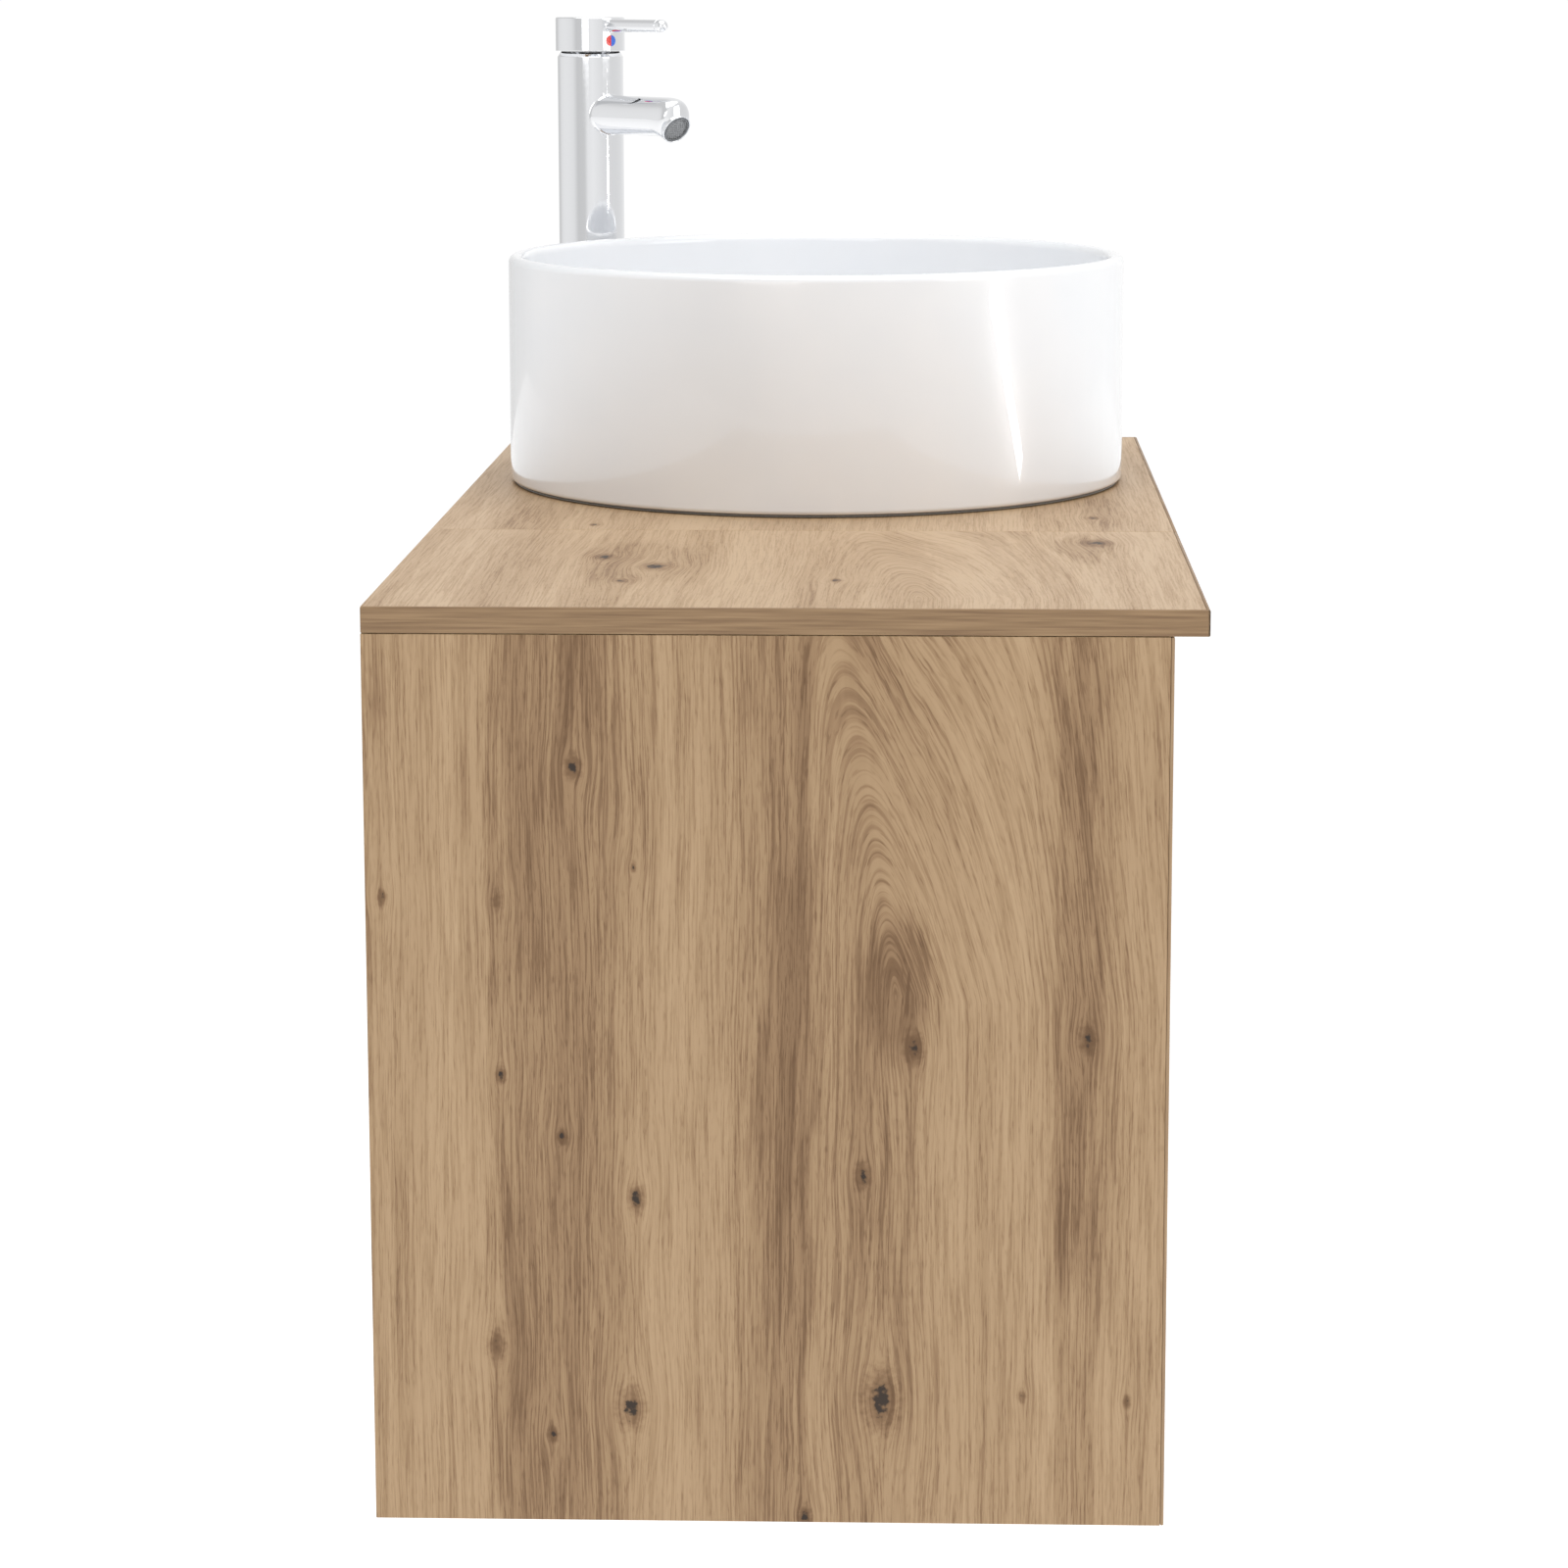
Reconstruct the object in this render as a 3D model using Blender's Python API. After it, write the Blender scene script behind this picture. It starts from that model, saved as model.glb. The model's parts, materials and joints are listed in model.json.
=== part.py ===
"""Wall-hung bathroom vanity with a round counter-top basin: a cupboard and a sink unit side by side.

Metres, +Z up. The origin is the middle of the footprint at the lowest point of the side panels.
The wall is at +Y, the fronts face -Y, and the cupboard is at -X. Left and right are as seen from
the front. The carcasses are 16 mm laminated board with fronts set in between the side panels.
"""

import math

import bmesh
import bpy
from mathutils import Matrix, Vector

# Overall sizes
CUPBOARD_WIDTH = 0.300
SINK_UNIT_WIDTH = 0.500
DEPTH = 0.460  # of the worktop, wall to front edge
CARCASS_HEIGHT = 0.503
OVERHANG = 0.019  # worktop past the carcass, at the front only

# Boards
BOARD = 0.016
WORKTOP = 0.015
WASTE_HOLE_ROOM = 0.004  # worktop hole past the waste
TAP_HOLE_ROOM = 0.001
BACK_BOARD = 0.008
BOX_BOARD = 0.012  # drawer sides and backs
BASE_BOARD = 0.008  # drawer bases
TOUCH = 0.0003  # clearance between pieces that touch

# Fronts
FRONT_SETBACK = 0.001
FRONT_SIDE_GAP = 0.002
FRONT_BOTTOM = 0.002
FINGER_GAP = 0.020  # grip slot above each front

# Rails, shelf and back
FRONT_RAIL_DEPTH = 0.080
GRIP_DEPTH = 0.029  # finger room between a front and the rail behind it
HANGING_RAIL_HEIGHT = 0.100
WALL_SCREW_RADIUS = 0.004
WALL_SCREW_INSET = 0.050
PIPE_SLOT_WIDTH = 0.160
PIPE_SLOT_DROP = 0.103
SHELF_HEIGHT = 0.250
SHELF_SETBACK = 0.044
PIN_RADIUS = 0.0025
PIN_DEPTH = 0.008  # into the side panel
PIN_REACH = 0.009  # under the shelf
PIN_INSET = 0.037
PIN_BACK_INSET = 0.057
SHELF_PLAY = 0.0008  # at each end
SHELF_BACK_GAP = 0.002

# Concealed hinges
CUP_RADIUS = 0.0172
CUP_DEPTH = 0.0115
CUP_FROM_EDGE = 0.022
HINGE_FLANGE = (0.024, 0.0012, 0.062)
HINGE_ARM = (0.0138, 0.078, 0.012)
HINGE_PLATE = (0.004, 0.045, 0.050)
HINGE_CLEARANCE = 0.0035
HINGE_FROM_END = 0.090
PLATE_FROM_TAIL = 0.005  # plate short of the arm's end

# Drawers and runners
RUNNER_SPACE = 0.0127  # each side of a drawer box
RUNNER_LENGTH = 0.300
RUNNER_SETBACK = 0.002  # behind the drawer front
RUNNER_HEIGHT = 0.035
SLIDER_HEIGHT = 0.026
RUNNER_LIP = 0.009
RUNNER_SHEET = 0.0012
BOX_LENGTH = 0.324
BOX_RISE = 0.0225  # box above the lower edge of its front
UPPER_BOX_HEIGHT = 0.130
LOWER_BOX_HEIGHT = 0.150
BASE_RISE = 0.006
GUARD_WALL = 0.006
TRAP_ROOM = 0.044  # between the trap and the guard round it

# Basin
BASIN_RADIUS = 0.2075
BASIN_HEIGHT = 0.151
BASIN_WALL = 0.010
BASIN_FLOOR = 0.016
BASIN_FROM_SEAM = 0.260
BASIN_FROM_WALL = 0.230
BOWL_CORNER = 0.045
BOWL_FALL = 0.007  # floor slope towards the waste
FOOT_RADIUS = 0.003
FOOT_RECESS = 0.004
FOOT_WIDTH = 0.020
FOOT_SLOPE = 0.002
SEAT_PLAY = 0.0006  # waste flange in its seat
SEAT_EASE = 0.003  # sloped width round the seat
SEAT_FALL = 0.001
WASTE_PLAY = 0.0015  # basin hole past the waste
SEAL = 0.0012
SEAL_PROUD = 0.0005  # past the foot, outside
SEAL_INSET = 0.003  # short of the foot, inside

# Waste and trap
WASTE_RADIUS = 0.0210
WASTE_BORE = 0.0180
WASTE_FLANGE = 0.0320
WASTE_LENGTH = 0.055  # below the worktop
FLANGE_THICKNESS = 0.003
SEAT_DEPTH = 0.0034
FLANGE_CHAMFER = 0.001
MOUTH_CHAMFER = 0.003
PLUG_RADIUS = 0.0305
PLUG_CROWN = ((0, 0.0065), (0.5, 0.0060), (0.8, 0.0048), (0.98, 0.0028), (1, 0.0015))  # share, rise
PLUG_EDGE = 0.0004
PLUG_PLAY = 0.003
STEM_RADIUS = 0.005
STEM_LENGTH = 0.030
STEM_SHOULDER = 0.004
PLUG_LIFT = 0.008
NUT_RADIUS = 0.034
NUT_HEIGHT = 0.010
TRAP_RADIUS = 0.031
TRAP_HEIGHT = 0.050
TRAP_CHAMFER = (0.008, 0.006)
TRAP_PLAY = 0.0005  # round the waste
TRAP_SEAT = 0.002  # under the waste's end
HUB_REACH = 0.012  # past the trap
HUB_WALL = 0.003
TRAP_DROP = 0.108  # worktop underside to the trap's shoulder
CUP_HEIGHT = 0.050
CUP_WALL = 0.003
CUP_TAPER = 0.001
CUP_FLOOR = 0.003
CUP_ROUND = ((0.010, 0), (0.003, 0.006), (0, 0.014))  # in, up
CUP_CORNER = 0.008
PIPE_RADIUS = 0.016
PIPE_WALL = 0.0015
PIPE_SHARE = 0.45  # of the trap's height, down to the outlet
COUPLING_RADIUS = 0.027
COUPLING_HEIGHT = 0.040
COUPLING_LAP = 0.020  # below the waste's end
COUPLING_CHAMFER = 0.004
PIPE_NUT_WALL = 0.006
PIPE_NUT_LENGTH = 0.016

# Tap
TAP_RADIUS = 0.02365
TAP_ANGLE = math.radians(41.6)  # from the basin towards the right-hand back corner
TAP_BASIN_GAP = 0.0228
TAP_SHOULDER = 0.281
TAP_NECK_RADIUS = 0.020
TAP_NECK_TOP = 0.2865
CONE_RADIUS = 0.021
CONE_TOP = 0.284
CAP_RADIUS = 0.0249
CAP_WALL = 0.0025
CAP_BOTTOM = 0.2845
CAP_TOP = 0.3086
CAP_ROOF = 0.004
CAP_CHAMFER = 0.001
PIVOT_DROP = 0.010
LEVER_RADIUS = 0.0046
LEVER_HEIGHT = 0.3028
LEVER_REACH = 0.0887
INDEX_RADIUS = 0.0042
INDEX_HEIGHT = 0.2920
INDEX_SEAT = 0.6  # of the cap's wall that stays outside the seat's floor
INDEX_PROUD = 0.0002
SPOUT_RADIUS = 0.01385
SPOUT_HEIGHT = 0.2395
SPOUT_LENGTH = 0.112  # before its end is rounded
MOUTH_REACH = 0.0989
MOUTH_DROP = 0.0072
MOUTH_LEAN = math.radians(33)  # the mouth looks out and down
MOUTH_FILLET = 0.006
COLLAR_RADIUS = 0.0112
COLLAR_DEPTH = 0.010
AERATOR_RADIUS = 0.0098
AERATOR_DEPTH = 0.006
AERATOR_PROUD = 0.0012
AERATOR_RIM = 0.0012
AERATOR_DISH = 0.0010
TOOL_REACH = 0.01  # a cutter past the face it opens
CARTRIDGE_RADIUS = 0.0175
CARTRIDGE_LENGTH = 0.036
SPINDLE_RADIUS = 0.005
SPINDLE_TOP = 0.300
SPINDLE_SOCKET = 0.012
SHANK_RADIUS = 0.016
SHANK_LENGTH = 0.048
TAP_NUT_RADIUS = 0.0225
INLET_RADIUS = 0.0045
INLET_DEPTH = 0.012

# Worked-out places
WIDTH = CUPBOARD_WIDTH + SINK_UNIT_WIDTH
LEFT = -WIDTH / 2
SEAM = LEFT + CUPBOARD_WIDTH
RIGHT = WIDTH / 2
WALL_Y = DEPTH / 2
FRONT_Y = -DEPTH / 2 + OVERHANG
FACE_Y = FRONT_Y + FRONT_SETBACK
INNER_Y = FACE_Y + BOARD
WORKTOP_Z = CARCASS_HEIGHT + WORKTOP
FRONT_TOP = CARCASS_HEIGHT - FINGER_GAP
DRAWER_FRONT_HEIGHT = (FRONT_TOP - FRONT_BOTTOM - FINGER_GAP) / 2
LOWER_TOP = FRONT_BOTTOM + DRAWER_FRONT_HEIGHT
UPPER_BOTTOM = LOWER_TOP + FINGER_GAP
RAIL_Y = INNER_Y + GRIP_DEPTH
CUPBOARD_INNER = (LEFT + BOARD, SEAM - BOARD)
SINK_INNER = (SEAM + BOARD, RIGHT - BOARD)
BASIN_X = SEAM + BASIN_FROM_SEAM
BASIN_Y = WALL_Y - BASIN_FROM_WALL
BASIN_Z = WORKTOP_Z + SEAL + 2 * TOUCH
WASTE_Z = BASIN_Z + BASIN_FLOOR
TRAP_Z = CARCASS_HEIGHT - TRAP_DROP
PIPE_Z = TRAP_Z - PIPE_SHARE * TRAP_HEIGHT
TAP_DISTANCE = BASIN_RADIUS + TAP_RADIUS + TAP_BASIN_GAP
TAP_X = BASIN_X + TAP_DISTANCE * math.cos(TAP_ANGLE)
TAP_Y = BASIN_Y + TAP_DISTANCE * math.sin(TAP_ANGLE)


def clear_scene():
    for obj in list(bpy.data.objects):
        bpy.data.objects.remove(obj, do_unlink=True)


def make_material(name, colour, roughness, metallic=0.0):
    """A Principled material from a linear colour."""
    mat = bpy.data.materials.new(name)
    mat.use_nodes = True
    shader = mat.node_tree.nodes["Principled BSDF"]
    shader.inputs["Base Color"].default_value = (*colour, 1.0)
    shader.inputs["Roughness"].default_value = roughness
    shader.inputs["Metallic"].default_value = metallic
    mat.diffuse_color = (*colour, 1.0)
    return mat


def oak():
    return make_material("oak_laminate", (0.42, 0.27, 0.16), 0.55)


def box_board():
    return make_material("drawer_board", (0.62, 0.60, 0.56), 0.60)


def back_board():
    return make_material("back_board", (0.70, 0.69, 0.66), 0.65)


def zinc_steel():
    return make_material("zinc_plated_steel", (0.62, 0.62, 0.63), 0.35, 1.0)


def ceramic():
    return make_material("glazed_ceramic", (0.86, 0.87, 0.88), 0.08)


def sealant():
    return make_material("sealing_ring", (0.10, 0.10, 0.10), 0.60)


def chrome():
    return make_material("chrome_plate", (0.75, 0.76, 0.77), 0.06, 1.0)


def white_plastic():
    return make_material("white_plastic", (0.80, 0.80, 0.79), 0.40)


def grey_plastic():
    return make_material("grey_plastic", (0.28, 0.29, 0.30), 0.45)


def index_plastic():
    return make_material("index_plastic", (0.70, 0.05, 0.04), 0.30)


def make_object(name, bm, mat, location=(0, 0, 0), smooth=False):
    """Closes a bmesh into an object, with its faces turned outwards."""
    bmesh.ops.remove_doubles(bm, verts=bm.verts, dist=0.000001)
    bmesh.ops.recalc_face_normals(bm, faces=bm.faces)
    if bm.calc_volume(signed=True) < 0:
        bmesh.ops.reverse_faces(bm, faces=bm.faces)
    mesh = bpy.data.meshes.new(name)
    bm.to_mesh(mesh)
    bm.free()
    if smooth:
        mesh.shade_smooth()
        mesh.set_sharp_from_angle(angle=math.radians(35))
    mesh.materials.append(mat)
    obj = bpy.data.objects.new(name, mesh)
    obj.location = location
    bpy.context.scene.collection.objects.link(obj)
    return obj


def board(name, x, y, z, mat):
    """A straight board between pairs of low and high coordinates."""
    low, high = Vector((x[0], y[0], z[0])), Vector((x[1], y[1], z[1]))
    bm = bmesh.new()
    bmesh.ops.create_cube(bm, size=1.0)
    bmesh.ops.scale(bm, vec=high - low, verts=bm.verts)
    return make_object(name, bm, mat, (low + high) / 2)


def prism(name, outline, low, high, mat, axis="Z"):
    """An outline pushed along an axis: (x, y) points along Z, (x, z) along Y, (y, z) along X."""
    places = {
        "Z": lambda a, b, c: (a, b, c),
        "Y": lambda a, b, c: (a, c, b),
        "X": lambda a, b, c: (c, a, b),
    }
    place = places[axis]
    bm = bmesh.new()
    face = bm.faces.new([bm.verts.new(place(a, b, low)) for a, b in outline])
    grown = bmesh.ops.extrude_face_region(bm, geom=[face])
    moved = [item for item in grown["geom"] if isinstance(item, bmesh.types.BMVert)]
    bmesh.ops.translate(bm, vec=place(0, 0, high - low), verts=moved)
    return make_object(name, bm, mat)


def turned(name, profile, mat, location=(0, 0, 0), segments=48):
    """A profile of (radius, height) points spun about Z. It closes on itself or on the axis."""
    bm = bmesh.new()
    verts = [bm.verts.new((r, 0, z)) for r, z in profile]
    pairs = list(zip(verts, verts[1:]))
    if profile[0][0] > 0:
        pairs.append((verts[-1], verts[0]))
    edges = [bm.edges.new(pair) for pair in pairs]
    bmesh.ops.spin(
        bm,
        geom=verts + edges,
        cent=(0, 0, 0),
        axis=(0, 0, 1),
        angle=2 * math.pi,
        steps=segments,
        use_merge=True,
    )
    bmesh.ops.remove_doubles(bm, verts=bm.verts, dist=0.000001)
    bmesh.ops.dissolve_degenerate(bm, edges=bm.edges, dist=0.000001)
    return make_object(name, bm, mat, location, smooth=True)


def arc(centre, radius, start, end, steps):
    """Points of a profile's arc, in degrees from the outward direction."""
    angles = [math.radians(start + (end - start) * i / steps) for i in range(steps + 1)]
    return [(centre[0] + radius * math.cos(a), centre[1] + radius * math.sin(a)) for a in angles]


def rod(name, start, end, radius, mat, segments=24):
    """A plain round bar from one point to another."""
    start, end = Vector(start), Vector(end)
    span = end - start
    turn = span.to_track_quat("Z", "Y").to_matrix().to_4x4()
    bm = bmesh.new()
    bmesh.ops.create_cone(
        bm, cap_ends=True, segments=segments, radius1=radius, radius2=radius, depth=span.length
    )
    bmesh.ops.transform(bm, matrix=turn, verts=bm.verts)
    return make_object(name, bm, mat, (start + end) / 2, smooth=True)


def combine(obj, tool, operation):
    """Applies an exact Boolean and removes the tool."""
    modifier = obj.modifiers.new(operation.lower(), "BOOLEAN")
    modifier.operation = operation
    modifier.solver = "EXACT"
    modifier.object = tool
    bpy.context.view_layer.update()
    graph = bpy.context.evaluated_depsgraph_get()
    mesh = bpy.data.meshes.new_from_object(obj.evaluated_get(graph))
    obj.modifiers.clear()
    plain = obj.data
    obj.data = mesh
    bpy.data.meshes.remove(plain)
    bpy.data.objects.remove(tool, do_unlink=True)
    return obj


def cut(obj, *tools):
    for tool in tools:
        combine(obj, tool, "DIFFERENCE")
    return obj


def join(obj, *tools):
    for tool in tools:
        combine(obj, tool, "UNION")
    return obj


def axis_empty(name, location, parent=None, turn=0.0):
    """An empty on a joint's axis, which carries the pieces that move there."""
    empty = bpy.data.objects.new(name, None)
    empty.empty_display_size = 0.03
    bpy.context.scene.collection.objects.link(empty)
    empty.location = location
    empty.rotation_euler[2] = turn
    empty.parent = parent
    return empty


def carry(empty, *pieces):
    """Parents pieces that were made in world coordinates to an empty that is not turned."""
    for piece in pieces:
        piece.location = piece.location - empty.location
        piece.parent = empty


def both(pair, inset):
    return (pair[0] + inset, pair[1] - inset)


def make_side_panels(mat):
    """Two side panels for each unit; the middle pair stands back to back at the seam."""
    depth = (FRONT_Y, WALL_Y)
    height = (0, CARCASS_HEIGHT)
    spans = {
        "left_end_panel": (LEFT, LEFT + BOARD),
        "cupboard_partition": (SEAM - BOARD, SEAM - TOUCH / 2),
        "sink_partition": (SEAM + TOUCH / 2, SEAM + BOARD),
        "right_end_panel": (RIGHT - BOARD, RIGHT),
    }
    panels = {name: board(name, x, depth, height, mat) for name, x in spans.items()}
    for name, inner_x, way in (
        ("left_end_panel", CUPBOARD_INNER[0], 1),
        ("cupboard_partition", CUPBOARD_INNER[1], -1),
    ):
        for y in pin_rows():
            hole = rod(
                "pin_hole",
                (inner_x - way * (PIN_DEPTH + 2 * TOUCH), y, pin_height()),
                (inner_x + way * PIN_DEPTH, y, pin_height()),
                PIN_RADIUS + TOUCH,
                mat,
                16,
            )
            cut(panels[name], hole)


def pin_rows():
    """The Y places of the shelf pins, front then back."""
    return (INNER_Y + SHELF_SETBACK + PIN_INSET, WALL_Y - BACK_BOARD - PIN_BACK_INSET)


def pin_height():
    return SHELF_HEIGHT - PIN_RADIUS - TOUCH


def make_floors_and_rails(mat):
    """Floors, front rails and hanging rails between each unit's side panels."""
    for unit, inner in (("cupboard", CUPBOARD_INNER), ("sink", SINK_INNER)):
        x = both(inner, TOUCH)
        board(f"{unit}_floor", x, (INNER_Y + 2 * TOUCH, WALL_Y), (0, BOARD), mat)
        rail_y = (RAIL_Y, RAIL_Y + FRONT_RAIL_DEPTH)
        board(f"{unit}_front_rail", x, rail_y, (CARCASS_HEIGHT - BOARD, CARCASS_HEIGHT), mat)
        hanging = board(
            f"{unit}_hanging_rail",
            x,
            (WALL_Y - BOARD, WALL_Y),
            (CARCASS_HEIGHT - HANGING_RAIL_HEIGHT, CARCASS_HEIGHT),
            mat,
        )
        for hole_x in both(inner, WALL_SCREW_INSET):
            middle = CARCASS_HEIGHT - HANGING_RAIL_HEIGHT / 2
            start = (hole_x, WALL_Y - 2 * BOARD, middle)
            end = (hole_x, WALL_Y + BOARD, middle)
            cut(hanging, rod("screw_hole", start, end, WALL_SCREW_RADIUS, mat, 16))


def make_backs(mat):
    """Thin backs under the hanging rails. The sink unit's has a slot for the waste pipe."""
    y = (WALL_Y - BACK_BOARD, WALL_Y)
    low = BOARD + TOUCH
    high = CARCASS_HEIGHT - HANGING_RAIL_HEIGHT - TOUCH
    board("cupboard_back", both(CUPBOARD_INNER, TOUCH), y, (low, high), mat)
    x0, x1 = both(SINK_INNER, TOUCH)
    slot0, slot1 = BASIN_X - PIPE_SLOT_WIDTH / 2, BASIN_X + PIPE_SLOT_WIDTH / 2
    slot_z = high - PIPE_SLOT_DROP
    outline = [
        (x0, low),
        (x1, low),
        (x1, high),
        (slot1, high),
        (slot1, slot_z),
        (slot0, slot_z),
        (slot0, high),
        (x0, high),
    ]
    prism("sink_back", outline, *y, mat, axis="Y")


def make_worktops(mat):
    """One worktop on each unit. The sink unit's is drilled for the waste and the tap."""
    y = (-DEPTH / 2, WALL_Y)
    z = (CARCASS_HEIGHT + TOUCH, WORKTOP_Z)
    board("cupboard_worktop", (LEFT, SEAM - TOUCH / 2), y, z, mat)
    top = board("sink_worktop", (SEAM + TOUCH / 2, RIGHT), y, z, mat)
    low, high = CARCASS_HEIGHT - WORKTOP, WORKTOP_Z + WORKTOP
    waste_hole = WASTE_RADIUS + WASTE_HOLE_ROOM
    tap_hole = SHANK_RADIUS + TAP_HOLE_ROOM
    cut(
        top,
        rod("waste_hole", (BASIN_X, BASIN_Y, low), (BASIN_X, BASIN_Y, high), waste_hole, mat, 48),
        rod("tap_hole", (TAP_X, TAP_Y, low), (TAP_X, TAP_Y, high), tap_hole, mat, 32),
    )


def make_shelf(mat, pin_mat):
    """A loose shelf on four pins."""
    x = both(CUPBOARD_INNER, SHELF_PLAY)
    y = (INNER_Y + SHELF_SETBACK, WALL_Y - BACK_BOARD - SHELF_BACK_GAP)
    board("cupboard_shelf", x, y, (SHELF_HEIGHT, SHELF_HEIGHT + BOARD), mat)
    for row, pin_y in zip(("front", "back"), pin_rows()):
        for side, inner_x, way in (("left", CUPBOARD_INNER[0], 1), ("right", CUPBOARD_INNER[1], -1)):
            start = (inner_x - way * PIN_DEPTH, pin_y, pin_height())
            end = (inner_x + way * PIN_REACH, pin_y, pin_height())
            rod(f"shelf_pin_{row}_{side}", start, end, PIN_RADIUS, pin_mat, 16)


def make_door(mat, steel):
    """The cupboard door, hung on its left-hand edge, with its two hinge cups."""
    x = both((LEFT + BOARD, SEAM - BOARD), FRONT_SIDE_GAP)
    door = board("cupboard_door", x, (FACE_Y, INNER_Y), (FRONT_BOTTOM, FRONT_TOP), mat)
    pivot = axis_empty("door_pivot", (x[0], FACE_Y, FRONT_BOTTOM))
    cup_x = x[0] + CUP_FROM_EDGE
    cups = []
    for name, z in zip(("lower", "upper"), hinge_heights()):
        hole_y = INNER_Y - CUP_DEPTH - 2 * TOUCH
        bottom, mouth = (cup_x, hole_y, z), (cup_x, INNER_Y + BOARD, z)
        cut(door, rod("cup_hole", bottom, mouth, CUP_RADIUS + TOUCH, mat, 32))
        cups.append(make_hinge_cup(f"{name}_hinge_cup", cup_x, z, steel))
        make_hinge_arm(f"{name}_hinge_arm", z, steel)
    carry(pivot, door, *cups)


def hinge_heights():
    return (FRONT_BOTTOM + HINGE_FROM_END, FRONT_TOP - HINGE_FROM_END)


def make_hinge_cup(name, x, z, steel):
    """A cup sunk in the door with its screw flange on the door's inner face."""
    width, thickness, height = HINGE_FLANGE
    low = INNER_Y + TOUCH
    cup = rod(name, (x, INNER_Y - CUP_DEPTH, z), (x, low + thickness / 2, z), CUP_RADIUS, steel, 32)
    flange = board(
        "flange",
        (x - width / 2, x + width / 2),
        (low, low + thickness),
        (z - height / 2, z + height / 2),
        steel,
    )
    return join(cup, flange)


def make_hinge_arm(name, z, steel):
    """The hinge's arm on its mounting plate, screwed to the left end panel."""
    plate_x, plate_y, plate_z = HINGE_PLATE
    arm_x, arm_y, arm_z = HINGE_ARM
    x = LEFT + BOARD + TOUCH
    nose = INNER_Y + TOUCH + HINGE_FLANGE[1] + HINGE_CLEARANCE
    tail = nose + arm_y
    arm = board(
        name,
        (x + plate_x / 2, x + plate_x + arm_x),
        (nose, tail),
        (z - arm_z / 2, z + arm_z / 2),
        steel,
    )
    plate = board(
        "plate",
        (x, x + plate_x),
        (tail - plate_y - PLATE_FROM_TAIL, tail - PLATE_FROM_TAIL),
        (z - plate_z / 2, z + plate_z / 2),
        steel,
    )
    return join(arm, plate)


def channel(name, open_way, web_x, height, y, z_middle, steel):
    """A C-shaped runner profile along Y. Its lips point along open_way from the web."""
    sheet = RUNNER_SHEET
    tip = web_x + open_way * RUNNER_LIP
    inside = web_x + open_way * sheet
    low, high = z_middle - height / 2, z_middle + height / 2
    outline = [
        (web_x, low),
        (tip, low),
        (tip, low + sheet),
        (inside, low + sheet),
        (inside, high - sheet),
        (tip, high - sheet),
        (tip, high),
        (web_x, high),
    ]
    return prism(name, outline, *y, steel, axis="Y")


def make_runner_pair(name, z_middle, steel):
    """Outer members on the sink unit's sides and sliders on the drawer. Returns the sliders."""
    start = INNER_Y + RUNNER_SETBACK
    y = (start, start + RUNNER_LENGTH)
    sliders = []
    for side, wall_x, way in (("left", SINK_INNER[0], 1), ("right", SINK_INNER[1], -1)):
        web_x = wall_x + way * TOUCH
        channel(f"{name}_{side}_runner", way, web_x, RUNNER_HEIGHT, y, z_middle, steel)
        inner_x = wall_x + way * (RUNNER_SPACE - TOUCH)
        slider = channel(f"{name}_{side}_slider", -way, inner_x, SLIDER_HEIGHT, y, z_middle, steel)
        sliders.append(slider)
    return sliders


def box_sides():
    """The outer faces of the drawer boxes."""
    return both(SINK_INNER, RUNNER_SPACE)


def make_drawer_shell(name, front_z, box_z, front_mat, side_mat):
    """A drawer's front and its two side boards."""
    front_x = both(SINK_INNER, FRONT_SIDE_GAP)
    front = board(f"{name}_front", front_x, (FACE_Y, INNER_Y), front_z, front_mat)
    outer = box_sides()
    y = (INNER_Y + TOUCH, INNER_Y + BOX_LENGTH)
    left = board(f"{name}_left_side", (outer[0], outer[0] + BOX_BOARD), y, box_z, side_mat)
    right = board(f"{name}_right_side", (outer[1] - BOX_BOARD, outer[1]), y, box_z, side_mat)
    return [front, left, right]


def make_lower_drawer(front_mat, side_mat, steel):
    """The full-width lower drawer."""
    low = FRONT_BOTTOM + BOX_RISE
    box_z = (low, low + LOWER_BOX_HEIGHT)
    pieces = make_drawer_shell("lower_drawer", (FRONT_BOTTOM, LOWER_TOP), box_z, front_mat, side_mat)
    x = both(box_sides(), BOX_BOARD + TOUCH)
    back_y = (INNER_Y + BOX_LENGTH - BOX_BOARD, INNER_Y + BOX_LENGTH)
    pieces.append(board("lower_drawer_back", x, back_y, box_z, side_mat))
    base_y = (INNER_Y + TOUCH, back_y[0] - TOUCH)
    base_z = (low + BASE_RISE, low + BASE_RISE + BASE_BOARD)
    pieces.append(board("lower_drawer_base", x, base_y, base_z, side_mat))
    pieces += make_runner_pair("lower", low + LOWER_BOX_HEIGHT / 2, steel)
    carry(axis_empty("lower_drawer_slide", (BASIN_X, FACE_Y, low)), *pieces)


def u_outline(half_outer, half_inner, front_outer, front_inner, back):
    """A U that is open towards the wall, round the trap."""
    return [
        (BASIN_X - half_outer, back),
        (BASIN_X - half_outer, front_outer),
        (BASIN_X + half_outer, front_outer),
        (BASIN_X + half_outer, back),
        (BASIN_X + half_inner, back),
        (BASIN_X + half_inner, front_inner),
        (BASIN_X - half_inner, front_inner),
        (BASIN_X - half_inner, back),
    ]


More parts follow.
